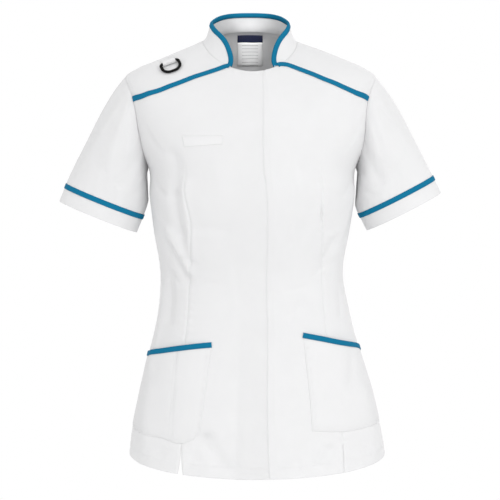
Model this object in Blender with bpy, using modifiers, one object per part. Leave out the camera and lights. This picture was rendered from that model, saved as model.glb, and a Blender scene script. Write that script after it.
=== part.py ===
"""A woman's medical tunic with short sleeves, filled out as if worn, in metres with +Z up.

The origin is inside the neck, at the level of the neck points, and the front faces -Y.
Every piece of cloth is a thin wall on one shared body form. A place on that form is given as
(angle, level): the angle in degrees around the body, 0 at the middle of the front, +90 at the
wearer's left side and 180 at the middle of the back; the level says how far the front middle of
that ring lies below the neck points, in millimetres. The tables below are in millimetres and
degrees, and MM turns them into metres when a mesh is made.
"""

import math

import bpy
import bmesh
import numpy as np
from mathutils import Vector

MM = 0.001

# Cloth and trim, in millimetres
WALL = 1.3            # body cloth
TRIM_WALL = 0.9       # bound edges and bands
SEAM_HALF_GAP = 0.28  # every panel is cut this much short of its seam line
LAID_GAP = 0.6        # clear height under a piece that lies on another
GIRTH_PER_DEGREE = 2.5   # length of one degree around the body, near enough for measuring paths

# Body rings, one row for each level from the neck seam to the hem
LEVEL, SIDE_DROP, BACK_DROP, HALF_WIDTH, FRONT_DEPTH, BACK_DEPTH, SQUARENESS, RISE, CENTRE, FRONT_SHIFT = range(10)
RINGS = np.array((
    (52, 2, -20, 75, 66, 66, 2.0, 1.3, 2, 5),            # neck seam
    (70, 11, -9, 101, 79, 80, 2.1, 1.5, 4, 3),
    (90, 27, 12, 141, 93, 96, 2.15, 1.8, 5, 1),
    (112, 45, 38, 182, 103, 108, 2.2, 2.0, 4, 0),
    (126, 58, 60, 199, 108, 113, 2.25, 2.0, 3, 0),       # shoulder points
    (150, 108, 106, 198, 116, 117, 2.3, 2.0, 4, 0),
    (175, 160, 156, 184, 121, 117, 2.35, 2.0, 6, 0),
    (202, 200, 202, 165, 124, 114, 2.4, 2.0, 6, 0),      # underarm
    (245, 244, 245, 163, 126, 108, 2.4, 2.0, 6, 0),      # bust
    (302, 301, 302, 156, 117, 97, 2.35, 2.0, 5, 0),
    (372, 370, 372, 146, 103, 86, 2.3, 2.0, 5, 0),       # waist
    (430, 426, 428, 152, 104, 92, 2.3, 2.0, 8, 0),
    (500, 493, 497, 168, 110, 106, 2.35, 2.0, 10, 0),    # top of the hip pockets
    (570, 558, 564, 186, 117, 115, 2.4, 1.8, 12, 0),
    (630, 614, 622, 199, 122, 118, 2.4, 1.6, 13, 0),
    (679, 655, 668, 205, 125, 119, 2.4, 1.4, 14, 0),     # hem
), float)
NECK_LEVEL, UNDERARM_LEVEL, VENT_LEVEL, HEM_LEVEL = 52, 202, 634, 679

# Armhole on the wearer's left, one row for each turn around it: 0 at the underarm, 90 in front,
# 180 on the shoulder point, 270 behind. The wearer's right has the same one, mirrored. Columns: turn,
# angle, level.
ARMHOLE = np.array((
    (0, 90, 202), (25, 80, 195), (50, 71, 184), (75, 65, 168), (100, 61.5, 152), (120, 62, 139),
    (140, 67, 132), (160, 78, 127), (180, 90, 125), (200, 102, 127), (220, 112, 132),
    (240, 117, 139), (260, 118, 152), (285, 115, 168), (310, 109, 184), (335, 100, 195),
    (360, 90, 202),
), float)
FRONT_TURNS = np.linspace(0, 120, 9)       # from the underarm to the front yoke seam
YOKE_TURNS = np.linspace(120, 212, 9)      # over the shoulder point
BACK_TURNS = np.linspace(212, 360, 9)      # from the back yoke seam to the underarm

# Front yoke seam on each side, from the end of the collar to the armhole: (angle, level)
YOKE_SEAMS = {
    "right": ((30, 52), (36.8, 65.3), (41.1, 84.4), (43.2, 102.5), (46.7, 120.4), (50.7, 128.7), (62, 139)),
    "left": ((30.5, 52), (42.8, 73), (45.6, 98), (50, 123.5), (62, 139)),
}
BACK_YOKE_ANGLE = 123     # where the back yoke seam meets the neck seam

# Lap of the fronts: the wearer's right front ends at LAP and covers the left front down to UNDERLAP.
# Columns: level, angle.
LAP = np.array(((52, 19), (60, 12.8), (77, 9), (185, 5.8), (238, 7.6), (343, 9.1), (435, 7.9),
                (580, 5.2), (679, 5.1)), float)
UNDERLAP = np.array(((52, -16), (80, -13), (200, -10), (679, -9)), float)
LAP_STEP_DEGREES = (0.6, 4.0)
LAP_DIP = WALL + LAID_GAP

# Bust-to-hem darts: (level, angle); each ends in a vent in the hem
DARTS = {
    "right": np.array(((202, 36.5), (231, 37.3), (283, 34.7), (344, 37.5), (375, 39.6), (436, 40.2),
                       (478, 39.8), (564, 36.2), (634, 33.9), (679, 33.6)), float),
    "left": np.array(((202, 37), (230, 38.8), (264, 39.2), (324, 43.5), (344, 45.5), (427, 44.2),
                      (502, 41), (581, 39.3), (641, 39), (679, 38)), float),
}
VENT_OPENING = {"right": 8.0, "left": 2.4}

# Largest folds of the body cloth, ridges above 0 and troughs below. Columns: angle and level at one
# end, angle and level at the other, half width, height.
FOLDS = np.array((
    (-41, 188, -44, 245, 11, -3.2), (-44, 245, -41, 304, 9, -3.0), (-41, 304, -38.5, 351, 8, -2.4),
    (-52, 300, -39, 360, 8, 3.6), (-55, 320, -41, 376, 8, -3.0), (-37.5, 228, -36.5, 340, 10, 2.2),
    (-58, 371, -56, 440, 12, -3.0), (-70, 400, -64, 520, 14, 2.4), (-31, 296, -15, 295, 9, -1.2),
    (51, 319, 46, 346, 8, -2.6), (26, 297, 23, 317, 10, -1.4), (27, 415, 22, 425, 10, -1.4),
    (64, 405, 60, 436, 9, -2.4), (59, 500, 51, 545, 10, -2.2), (70, 240, 58, 330, 13, 2.4),
    (-23, 620, -28, 648, 9, -2.0), (-23, 620, -14, 660, 9, -1.6), (32, 638, 28, 660, 8, -1.8),
    (-60, 560, -55, 660, 16, 2.6), (62, 560, 60, 660, 16, 2.2), (-8, 600, -6, 679, 14, 1.8),
    (150, 330, 175, 352, 10, -3.0), (208, 322, 186, 348, 10, -2.8), (130, 350, 160, 392, 11, 2.6),
    (228, 355, 200, 396, 11, 2.4), (142, 470, 146, 660, 15, 3.0), (214, 480, 210, 662, 15, 2.8),
    (178, 520, 181, 668, 16, -2.4), (118, 230, 128, 330, 12, -2.6), (242, 236, 233, 325, 12, -2.8),
    (112, 560, 116, 660, 14, -2.2), (250, 550, 246, 660, 14, -2.4),
), float)

# Sleeves: middle of the cuff seam, half width and half depth there, tilt of the axis from straight down
SLEEVES = {
    "right": {"side": -1, "seam_x": -230, "seam_z": -255, "tilt": 22.0},
    "left": {"side": 1, "seam_x": 236, "seam_z": -247.5, "tilt": 27.0},
}
CUFF_HALF_WIDTH, CUFF_HALF_DEPTH, CUFF_DEPTH = 66.5, 52.0, 26.5
SLEEVE_PULL = 118.0       # how far the sleeve keeps the direction in which it leaves the armhole
SLEEVE_CLEARANCE, SLEEVE_CLEARANCE_SLOPE = 4.0, 0.3   # room between the sleeve and the body's side
CLEAR_FROM, CLEAR_FADE = 108, 30     # the drop below which that room is kept, and how soon it sets in
SLEEVE_GIRTH_PER_DEGREE, SLEEVE_SPAN = 1.05, 170.0   # scales of the fold table, in mm
# Direction in which the sleeve leaves the armhole. Columns: turn, outward, forward, down.
SLEEVE_START = np.array((
    (0, 0.06, 0.0, 1.0), (45, 0.22, 0.20, 1.0), (90, 0.36, 0.42, 0.88), (135, 0.56, 0.30, 0.80),
    (180, 0.70, 0.0, 0.74), (225, 0.56, -0.30, 0.80), (270, 0.36, -0.42, 0.88), (315, 0.22, -0.20, 1.0),
    (360, 0.06, 0.0, 1.0),
), float)
# Columns: turn and share of the length at one end, the same at the other, half width, height.
SLEEVE_FOLDS = np.array((
    (150, 0.05, 160, 0.85, 10, -2.6), (120, 0.05, 105, 0.6, 10, 2.2), (60, 0.05, 75, 0.7, 9, -2.2),
    (205, 0.1, 215, 0.8, 11, -2.2), (255, 0.05, 262, 0.7, 10, 2.2), (300, 0.1, 290, 0.7, 9, -2.0),
), float)

# Stand collar, from its front end to the middle of the back. Columns: angle where a line of it starts
# on the neck seam, angle where it ends at the edge, height of the edge there.
COLLAR = np.array((
    (28.5, 27, 2.5), (31, 27.5, 11), (35, 30.5, 20.5), (41, 36, 29), (48, 44, 34.5), (57, 54.5, 35.5),
    (72, 71, 33), (90, 90, 31), (108, 108, 31), (126, 126, 31.5), (144, 144, 30.5), (162, 162, 28.8),
    (180, 180, 28),
), float)
COLLAR_FLARE, COLLAR_FLARE_HEIGHT, COLLAR_LEAN = 5.0, 5.0, 0.26
COLLAR_CELLS = 16         # cells along each half of the collar
BINDING_WIDTH, BINDING_CLEARANCE = 6.4, 0.5

# Bands and pockets
YOKE_BAND_HALF_WIDTH = 3.8
CUFF_BAND_HALF_WIDTH = 3.4
POCKET_BAND_WIDTH = 7.2
POCKETS = {
    "right": {"top": ((-88, 502.5), (-77, 500.5), (-53.6, 488.3), (-42, 481.3), (-32, 475.8), (-23.5, 472)),
              "bottom": ((-88, 628), (-70, 628), (-58.9, 628.5), (-44.4, 627), (-34, 630.5),
                         (-28, 621), (-25.5, 608))},
    "left": {"top": ((88, 494.5), (77, 488.5), (51.5, 475.3), (37.4, 464.8), (27.5, 457.8)),
             "bottom": ((88, 616), (70, 616.5), (56.4, 616), (40.3, 614.5), (24.9, 608))},
}
POCKET_FULLNESS = 3.0
CHEST_POCKET = {"outer": ((-32.8, 174.4), (-32.2, 161)), "inner": ((-13.2, 166.8), (-12.5, 154.3))}

# Woven label inside the back of the neck: half width and the levels between which each part lies
LABEL_HALF_WIDTH, LABEL_CENTRE_X = 21.0, 2.5
LABEL_BAND_LEVELS, LABEL_BODY_LEVELS = (58, 74), (74.5, 108)
LABEL_WALL, LABEL_GAP = 0.7, 1.5

# Watch ring on the wearer's right shoulder: anchor on the form, then sizes in mm
RING_ANCHOR = (-64.6, 89.6)
RING_HALF_WIDTH, RING_LENGTH, RING_CORNER, RING_END_CORNER = 14.4, 22.0, 12.0, 4.5
RING_SECTION_HALF_WIDTH, RING_SECTION_HALF_THICKNESS = 2.5, 1.7
RING_SECTION_SIDES = 10
TAB_HALF_WIDTH, TAB_LENGTH, TAB_WALL, TAB_EYE_RADIUS, TAB_LAYER_GAP = 10.4, 22.0, 0.9, 3.3, 0.4
TAB_EYE_TURN, TAB_EYE_START = 128, 1.5    # wrap of the cloth round the bar, and its flat end before it
RING_BAR_HEIGHT = TAB_EYE_RADIUS + TAB_WALL + LAID_GAP + 0.3
RING_REST_TURN = 9.5      # degrees by which the ring leans down to the cloth

WHITE = (0.87, 0.88, 0.90, 1.0)
TEAL = (0.010, 0.235, 0.42, 1.0)
BLACK = (0.012, 0.012, 0.013, 1.0)
NAVY = (0.008, 0.014, 0.06, 1.0)


def smooth(x, stations, values):
    """Value at x of the smooth curve through the table rows."""
    x = np.asarray(x, float)
    slopes = np.gradient(values, stations, axis=0)
    row = np.clip(np.searchsorted(stations, x, side="right") - 1, 0, len(stations) - 2)
    step = stations[row + 1] - stations[row]
    f = np.clip((x - stations[row]) / step, 0, 1)
    if values.ndim > 1:
        f = f[..., None]
        step = step[..., None]
    start = (1 + 2 * f) * (1 - f) ** 2 * values[row] + f * (1 - f) ** 2 * step * slopes[row]
    end = f ** 2 * (3 - 2 * f) * values[row + 1] - f ** 2 * (1 - f) * step * slopes[row + 1]
    return start + end


def unit(v):
    return v / np.linalg.norm(v, axis=-1, keepdims=True)


def body_form(angle, level):
    """Point of the body form, in mm, without its folds."""
    angle, level = np.broadcast_arrays(np.asarray(angle, float), np.asarray(level, float))
    row = smooth(level, RINGS[:, LEVEL], RINGS)
    front_drop, side, back, width, front, rear, square, rise, centre, shift = np.moveaxis(row, -1, 0)
    s = np.sin(np.radians(angle))
    c = np.cos(np.radians(angle))
    reach = (np.abs(s) ** square + np.abs(c) ** square) ** (-1 / square)
    drop = side + (np.where(c > 0, front_drop, back) - side) * np.abs(c) ** rise
    depth = np.where(c > 0, front, rear)
    x = centre + shift * np.clip(c, 0, 1) + width * reach * s
    return np.stack([x, -depth * reach * c, -drop], axis=-1)


def body_normal(angle, level):
    around = body_form(angle + 0.2, level) - body_form(angle - 0.2, level)
    down = body_form(angle, level + 0.3) - body_form(angle, level - 0.3)
    return unit(np.cross(down, around))


def fold_height(across, along, rows, scale):
    """Height of the folds at a place given in two units, the first being scale mm long."""
    height = np.zeros(np.shape(across))
    for a0, b0, a1, b1, half_width, rise in rows:
        run = np.array(((a1 - a0) * scale[0], (b1 - b0) * scale[1]))
        da = ((across - a0 + 180) % 360 - 180) * scale[0]
        db = (along - b0) * scale[1]
        f = np.clip((da * run[0] + db * run[1]) / (run @ run), 0, 1)
        away = np.hypot(da - f * run[0], db - f * run[1])
        height = height + rise * np.exp(-(away / half_width) ** 2)
    return height


def body_cloth(places, out=0.0):
    """Points of the cloth at an array of (angle, level), moved out by some mm."""
    angle, level = places[..., 0], places[..., 1]
    lift = fold_height(angle, level, FOLDS, (GIRTH_PER_DEGREE, 1.0)) + out
    return body_form(angle, level) + body_normal(angle, level) * np.asarray(lift)[..., None]


def path(points):
    """A smooth curve through places on the form, as a function of 0 to 1 along it."""
    points = np.array(points, float)
    steps = np.hypot(np.diff(points[:, 0]) * GIRTH_PER_DEGREE, np.diff(points[:, 1]))
    stations = np.concatenate([[0], np.cumsum(steps)]) / steps.sum()
    return lambda along: smooth(along, stations, points)


def mix(a, b, f):
    return np.asarray(a) * (1 - f) + np.asarray(b) * f


def armhole(turn, side):
    """Place on the armhole at a turn in degrees, side -1 for the wearer's right."""
    place = smooth(np.asarray(turn, float), ARMHOLE[:, 0], ARMHOLE[:, 1:])
    return place * np.array((side, 1.0))


def filled(left, right, bottom, top, late=1.0):
    """A grid of places between four edges: left and right run upwards, bottom and top to the right.
    With late over 1 the shape of the top edge fades out sooner below it."""
    rows, columns = len(left), len(bottom)
    u = np.linspace(0, 1, columns)[:, None, None]
    v = np.linspace(0, 1, rows)[None, :, None] ** late
    sides = (1 - u) * left[None] + u * right[None] + (1 - v) * bottom[:, None] + v * top[:, None]
    corners = (1 - u) * (1 - v) * bottom[0] + u * (1 - v) * bottom[-1] + (1 - u) * v * top[0] + u * v * top[-1]
    return sides - corners


def cut_short(points, gap=SEAM_HALF_GAP, ends=True):
    """The panel's points with its edges drawn in from the seam lines."""
    cut = points.copy()
    if ends:
        cut[0] += unit(points[1] - points[0]) * gap
        cut[-1] += unit(points[-2] - points[-1]) * gap
    cut[:, 0] += unit(points[:, 1] - points[:, 0]) * gap
    cut[:, -1] += unit(points[:, -2] - points[:, -1]) * gap
    return cut


def clear_scene():
    for old in list(bpy.data.objects):
        bpy.data.objects.remove(old, do_unlink=True)


def material(name, color, roughness, metallic=0.0):
    made = bpy.data.materials.new(name)
    made.use_nodes = True
    shader = made.node_tree.nodes["Principled BSDF"]
    shader.inputs["Base Color"].default_value = color
    shader.inputs["Roughness"].default_value = roughness
    shader.inputs["Metallic"].default_value = metallic
    made.diffuse_color = color
    return made


def link(name, mesh, look):
    mesh.materials.append(look)
    made = bpy.data.objects.new(name, mesh)
    tunic.objects.link(made)
    return made


def cloth(name, points, look, wall=WALL, closed=False, slit=None, outward=False):
    """A wall of cloth on a grid of points whose columns run to the right seen from outside and whose
    rows run upwards. A slit is (column, rows from the bottom, opening at the bottom)."""
    columns, rows = points.shape[0] - 1, points.shape[1] - 1
    bm = bmesh.new()
    bmesh.ops.create_grid(bm, x_segments=columns, y_segments=rows, size=0.5)
    place = {v: (round((v.co.x + 0.5) * columns), round((v.co.y + 0.5) * rows)) for v in bm.verts}
    for v, (i, j) in place.items():
        v.co = Vector(points[i, j])
    if slit:
        column, slit_rows, opening = slit
        edges = [e for e in bm.edges
                 if all(place[v][0] == column and place[v][1] <= slit_rows for v in e.verts)]
        bmesh.ops.split_edges(bm, edges=edges)
        lips = [v for v in bm.verts if (v.co - Vector(points[column, slit_rows])).length > 1e-3]
        spots = {tuple(np.round(points[column, j], 2)): j for j in range(slit_rows)}
        for v in lips:
            j = spots.get(tuple(np.round(v.co, 2)))
            if j is None:
                continue
            across = unit(points[column + 1, j] - points[column - 1, j])
            middle = sum((f.calc_center_median() for f in v.link_faces), Vector()) / len(v.link_faces)
            way = 1 if (middle - v.co).dot(Vector(across)) > 0 else -1
            v.co += Vector(across) * way * opening / 2 * (slit_rows - j) / slit_rows
    if closed:
        bmesh.ops.remove_doubles(bm, verts=bm.verts, dist=0.001)
    bmesh.ops.scale(bm, vec=(MM, MM, MM), verts=bm.verts)
    mesh = bpy.data.meshes.new(name)
    bm.to_mesh(mesh)
    bm.free()
    mesh.shade_smooth()
    made = link(name, mesh, look)
    thick = made.modifiers.new("Wall", "SOLIDIFY")
    thick.thickness = wall * MM
    thick.offset = 1.0 if outward else -1.0
    thick.use_even_offset = True
    return made


def strip(centre, normals, before, after, out, across_cells=2):
    """Points of a narrow band along a line of points, from before it to after it, moved out."""
    along = unit(np.gradient(centre, axis=0))
    across = unit(np.cross(normals, along))
    steps = np.linspace(-before, after, across_cells + 1)
    return np.stack([centre + across * step + normals * out for step in steps], axis=1)


def right_front_columns(level):
    """Angles of the right front's columns at a level, from the side seam to the lap edge."""
    dart = -smooth(level, DARTS["right"][:, 0], DARTS["right"][:, 1])
    lap = smooth(level, LAP[:, 0], LAP[:, 1])
    return np.concatenate([np.linspace(-90, dart, 9), np.linspace(dart, lap, 9)[1:]])


def left_front_columns(level):
    """Angles of the left front's columns at a level, from its hidden edge to the side seam."""
    dart = smooth(level, DARTS["left"][:, 0], DARTS["left"][:, 1])
    lap = smooth(level, LAP[:, 0], LAP[:, 1])
    hidden = smooth(level, UNDERLAP[:, 0], UNDERLAP[:, 1])
    under = np.linspace(hidden, lap + LAP_STEP_DEGREES[0], 3)
    seen = np.linspace(lap + LAP_STEP_DEGREES[1], dart, 6)
    return np.concatenate([under, seen, np.linspace(dart, 90, 9)[1:]])


LOWER_LEVELS = np.concatenate([np.linspace(HEM_LEVEL, VENT_LEVEL, 4),
                               np.linspace(VENT_LEVEL, UNDERARM_LEVEL, 18)[1:]])
UPPER_ROWS = len(FRONT_TURNS) - 1
TOP_FADE = 2.0
VENT_ROWS = 3


def panel_places(columns_at, upper):
    """Places of a panel: rings below the underarm, then the grid that fills it up to its top edge."""
    lower = np.stack([np.stack([columns_at(level), np.full(len(columns_at(level)), level)], axis=-1)
                      for level in LOWER_LEVELS], axis=1)
    return np.concatenate([lower, upper(lower[:, -1])[:, 1:]], axis=1)


def right_front_places():
    def upper(bottom):
        rise = np.linspace(0, 1, UPPER_ROWS + 1)
        arm = armhole(FRONT_TURNS, -1)
        levels = mix(UNDERARM_LEVEL, NECK_LEVEL, rise)
        edge = np.stack([smooth(levels, LAP[:, 0], LAP[:, 1]), levels], axis=-1)
        seam = path(YOKE_SEAMS["right"])(np.linspace(1, 0, 9)) * np.array((-1, 1))
        neck = np.stack([np.linspace(-YOKE_SEAMS["right"][0][0], LAP[0, 1], 9)[1:], np.full(8, NECK_LEVEL)], -1)
        return filled(arm, edge, bottom, np.concatenate([seam, neck]), TOP_FADE)

    return panel_places(right_front_columns, upper)


def left_front_places():
    def upper(bottom):
        rise = np.linspace(0, 1, UPPER_ROWS + 1)
        arm = armhole(FRONT_TURNS, 1)
        levels = mix(UNDERARM_LEVEL, NECK_LEVEL, rise)
        edge = np.stack([smooth(levels, UNDERLAP[:, 0], UNDERLAP[:, 1]), levels], axis=-1)
        seam = path(YOKE_SEAMS["left"])(np.linspace(0, 1, 9))
        neck_angles = left_front_neck()
        neck = np.stack([neck_angles, np.full(len(neck_angles), NECK_LEVEL)], -1)[:-1]
        places = filled(edge, arm, bottom, np.concatenate([neck, seam]), TOP_FADE)
        level = places[..., 1]
        lap = smooth(level, LAP[:, 0], LAP[:, 1])
        hidden = smooth(level, UNDERLAP[:, 0], UNDERLAP[:, 1])
        shares = np.linspace(0, 1, 3)[:, None]
        places[:3, :, 0] = mix(hidden[:3], lap[:3] + LAP_STEP_DEGREES[0], shares)
        dart = places[8, :, 0]
        shares = np.linspace(0, 1, 6)[:, None]
        places[3:9, :, 0] = mix(lap[3:9] + LAP_STEP_DEGREES[1], dart, shares)
        return places

    return panel_places(left_front_columns, upper)


def left_front_neck():
    lap = LAP[0, 1]
    corner = YOKE_SEAMS["left"][0][0]
    return np.concatenate([np.linspace(UNDERLAP[0, 1], lap + LAP_STEP_DEGREES[0], 3),
                           np.linspace(lap + LAP_STEP_DEGREES[1], corner, 6)])


def lap_dip(places):
    """How far the left front drops under the right front."""
    start, full = LAP_STEP_DEGREES[1], LAP_STEP_DEGREES[0]
    past = places[..., 0] - smooth(places[..., 1], LAP[:, 0], LAP[:, 1])
    f = np.clip((start - past) / (start - full), 0, 1)
    return -LAP_DIP * f * f * (3 - 2 * f)


def back_places():
    def columns_at(level):
        return np.concatenate([np.linspace(90, 142, 9), np.linspace(142, 218, 9)[1:-1], np.linspace(218, 270, 9)])

    def upper(bottom):
        left = armhole(BACK_TURNS[::-1], 1)
        right = armhole(BACK_TURNS[::-1], -1) + np.array((360, 0))
        seam = path((left[-1], (BACK_YOKE_ANGLE, NECK_LEVEL)))(np.linspace(0, 1, 9))
        neck_angles = np.linspace(BACK_YOKE_ANGLE, 360 - BACK_YOKE_ANGLE, 9)[1:-1]
        neck = np.stack([neck_angles, np.full(7, NECK_LEVEL)], -1)
        mirrored = seam[::-1] * np.array((-1, 1)) + np.array((360, 0))
        return filled(left, right, bottom, np.concatenate([seam, neck, mirrored]), TOP_FADE)

    return panel_places(columns_at, upper)


def yoke_places(name, side):
    """Yoke over one shoulder: columns from the neck to the armhole, rows from front to back."""
    rows, columns = len(YOKE_TURNS) - 1, 8
    seam = path(YOKE_SEAMS[name])(np.linspace(0, 1, columns + 1))
    arm = armhole(YOKE_TURNS, 1)
    neck = np.stack([np.linspace(seam[0, 0], BACK_YOKE_ANGLE, rows + 1), np.full(rows + 1, NECK_LEVEL)], -1)
    back = path((neck[-1], arm[-1]))(np.linspace(0, 1, columns + 1))
    places = filled(neck, arm, seam, back) * np.array((side, 1))
    return places if side > 0 else places[::-1]


def sleeve_end(name, turn, past=0.0):
    """Point on the cuff seam, or past it along the sleeve's axis."""
    spec = SLEEVES[name]
    side, tilt = spec["side"], math.radians(spec["tilt"])
    outward = np.array((side * math.cos(tilt), 0, math.sin(tilt)))
    axis = np.array((side * math.sin(tilt), 0, -math.cos(tilt)))
    a = np.radians(turn)[..., None]
    ring = -outward * CUFF_HALF_WIDTH * np.cos(a) - np.array((0, 1.0, 0)) * CUFF_HALF_DEPTH * np.sin(a)
    return np.array((spec["seam_x"], 0, spec["seam_z"])) + ring + axis * past, axis


def clear_of_body(points, room):
    """The points pushed out sideways where they come nearer to the body's side than some room."""
    level = np.interp(-points[..., 2], RINGS[:, SIDE_DROP], RINGS[:, LEVEL])
    width, depth, square, centre = (np.interp(level, RINGS[:, LEVEL], RINGS[:, k])
                                    for k in (HALF_WIDTH, FRONT_DEPTH, SQUARENESS, CENTRE))
    dx, dy = points[..., 0] - centre, points[..., 1]
    reach = ((np.abs(dx) / width) ** square + (np.abs(dy) / depth) ** square) ** (1 / square)
    grow = np.maximum(1, (1 + room / width) / reach)
    below = np.clip((-points[..., 2] - CLEAR_FROM) / CLEAR_FADE, 0, 1)
    moved = points.copy()
    moved[..., 0] = centre + dx * mix(1, grow, below)
    return moved


def sleeve_form(name, turn, along):
    side = SLEEVES[name]["side"]
    start = body_form(*np.moveaxis(armhole(turn, side), -1, 0))
    way = unit(smooth(turn, SLEEVE_START[:, 0], SLEEVE_START[:, 1:])) * np.array((side, -1, -1))
    end, axis = sleeve_end(name, turn)
    f = along[..., None]
    points = ((1 + 2 * f) * (1 - f) ** 2 * start + f * (1 - f) ** 2 * SLEEVE_PULL * way
              + f ** 2 * (3 - 2 * f) * end - f ** 2 * (1 - f) * SLEEVE_PULL * axis)
    room = np.minimum(SLEEVE_CLEARANCE, SLEEVE_CLEARANCE_SLOPE * np.linalg.norm(points - start, axis=-1))
    return clear_of_body(points, room)


def sleeve_cloth(name, turn, along, out=0.0):
    """Points of the sleeve with its folds, at a turn around it and a share of its length."""
    around = sleeve_form(name, (turn + 1) % 360, along) - sleeve_form(name, (turn - 1) % 360, along)
    down = sleeve_form(name, turn, np.clip(along + 0.01, 0, 1)) - sleeve_form(name, turn, np.clip(along - 0.01, 0, 1))
    normals = unit(np.cross(around, down)) * -SLEEVES[name]["side"]
    scale = (SLEEVE_GIRTH_PER_DEGREE, SLEEVE_SPAN)
    folds = fold_height(turn, along, SLEEVE_FOLDS, scale) * np.sin(np.pi * np.clip(along, 0, 1)) ** 0.5
    return sleeve_form(name, turn, along) + normals * np.asarray(folds + out)[..., None]


def sleeve_grid(name, rows=9):
    """Turns and shares of a closed sleeve grid: columns to the right seen from outside, rows upwards."""
    turns = np.concatenate([FRONT_TURNS, YOKE_TURNS[1:], BACK_TURNS[1:]])
    if SLEEVES[name]["side"] < 0:
        turns = turns[::-1]
    return np.meshgrid(turns % 360, np.linspace(1, 0, rows + 1), indexing="ij")


def collar_point(angle, height):
    base = body_form(angle, np.full(np.shape(angle), float(NECK_LEVEL)))
    inward = np.stack([-(base[..., 0] - RINGS[0, CENTRE]), -base[..., 1], np.zeros(np.shape(angle))], -1)
    lean = COLLAR_FLARE * (1 - np.exp(-height / COLLAR_FLARE_HEIGHT)) + COLLAR_LEAN * height
    return base + unit(inward) * lean[..., None] + np.array((0, 0, 1.0)) * height[..., None]


def collar_lines():
    """Base angle, edge angle and edge height along the collar, from its right end round the back."""
    line = np.concatenate([COLLAR[:, 0], 360 - COLLAR[-2::-1, 0]])
    edge = np.concatenate([COLLAR[:, 1], 360 - COLLAR[-2::-1, 1]])
    height = np.concatenate([COLLAR[:, 2], COLLAR[-2::-1, 2]])
    stations = np.linspace(0, 1, len(line))
    at = np.linspace(0, 1, 2 * COLLAR_CELLS + 1)
    table = np.stack([line, edge, height], axis=-1)
    return np.moveaxis(smooth(at, stations, table), -1, 0)


def collar_grid(shares):
    base, edge, height = collar_lines()
    f = np.asarray(shares)[None, :]
    return collar_point(mix(base[:, None], edge[:, None], f), height[:, None] * f)


def make_collar():
    points = cut_short(collar_grid(np.linspace(0.0, 1, 5)), 0.35, ends=False)
    cloth("collar", points, white_cloth)
    make_collar_binding()


def make_collar_binding():
    """The bound edge: a channel folded over the collar's upper edge."""
    edge, height = collar_lines()[1:]
    rim = collar_point(edge, height)
    around = collar_point(edge + 0.5, height) - collar_point(edge - 0.5, height)
    rise = collar_point(edge, height + 0.3) - collar_point(edge, height - 0.3)
    outward = unit(np.cross(around, rise))
    down = unit(np.cross(outward, unit(np.gradient(rim, axis=0)))) * -1
    clear = BINDING_CLEARANCE
    inner = -(WALL + 2 * clear)
    profile = ((BINDING_WIDTH, clear), (BINDING_WIDTH / 2, clear), (0, clear), (-clear, clear / 2),
               (-clear, inner), (BINDING_WIDTH / 2, inner), (BINDING_WIDTH, inner))
    points = np.stack([rim + down * reach + outward * out for reach, out in profile], axis=1)
    cloth("collar_binding", points, teal_binding, wall=TRIM_WALL, outward=True)


def make_fronts():
    right = body_cloth(right_front_places())
    cloth("front_right", cut_short(right), white_cloth, slit=(8, VENT_ROWS, VENT_OPENING["right"]))
    places = left_front_places()
    left = body_cloth(places, lap_dip(places))
    cloth("front_left", cut_short(left), white_cloth, slit=(8, VENT_ROWS, VENT_OPENING["left"]))


def make_back():
    cloth("back", cut_short(body_cloth(back_places())), white_cloth)


def make_yokes():
    for name, side in (("right", -1), ("left", 1)):
        cloth(f"yoke_{name}", cut_short(body_cloth(yoke_places(name, side))), white_cloth)
        seam = path(YOKE_SEAMS[name])(np.linspace(0.02, 0.985, 15)) * np.array((side, 1))
        if side < 0:
            seam = seam[::-1]
        centre = body_cloth(seam)
        points = strip(centre, body_normal(seam[:, 0], seam[:, 1]), YOKE_BAND_HALF_WIDTH,
                       YOKE_BAND_HALF_WIDTH, LAID_GAP)
        cloth(f"yoke_band_{name}", points, teal_binding, wall=TRIM_WALL, outward=True)


def make_sleeves():
    for name in SLEEVES:
        turn, along = sleeve_grid(name)
        points = cut_short(sleeve_cloth(name, turn, along), 0.3, ends=False)
        cloth(f"sleeve_{name}", points, white_cloth, closed=True)
        turns = turn[:, 0]
        edge = [sleeve_end(name, turns, past)[0] for past in (CUFF_DEPTH, CUFF_DEPTH / 2, 0.0)]
        cloth(f"cuff_{name}", cut_short(np.stack(edge, axis=1), 0.3, ends=False), white_cloth, closed=True)
        ring = sleeve_end(name, turns)[0]
        middle = np.array((SLEEVES[name]["seam_x"], 0, SLEEVES[name]["seam_z"]))
        axis = sleeve_end(name, turns)[1]
        normals = unit((ring - middle) - ((ring - middle) @ axis)[:, None] * axis)
        rows = [ring + axis * past + normals * LAID_GAP
                for past in (CUFF_BAND_HALF_WIDTH, 0.0, -CUFF_BAND_HALF_WIDTH)]
        cloth(f"cuff_band_{name}", np.stack(rows, axis=1), teal_binding, wall=TRIM_WALL, closed=True,
              outward=True)


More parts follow.
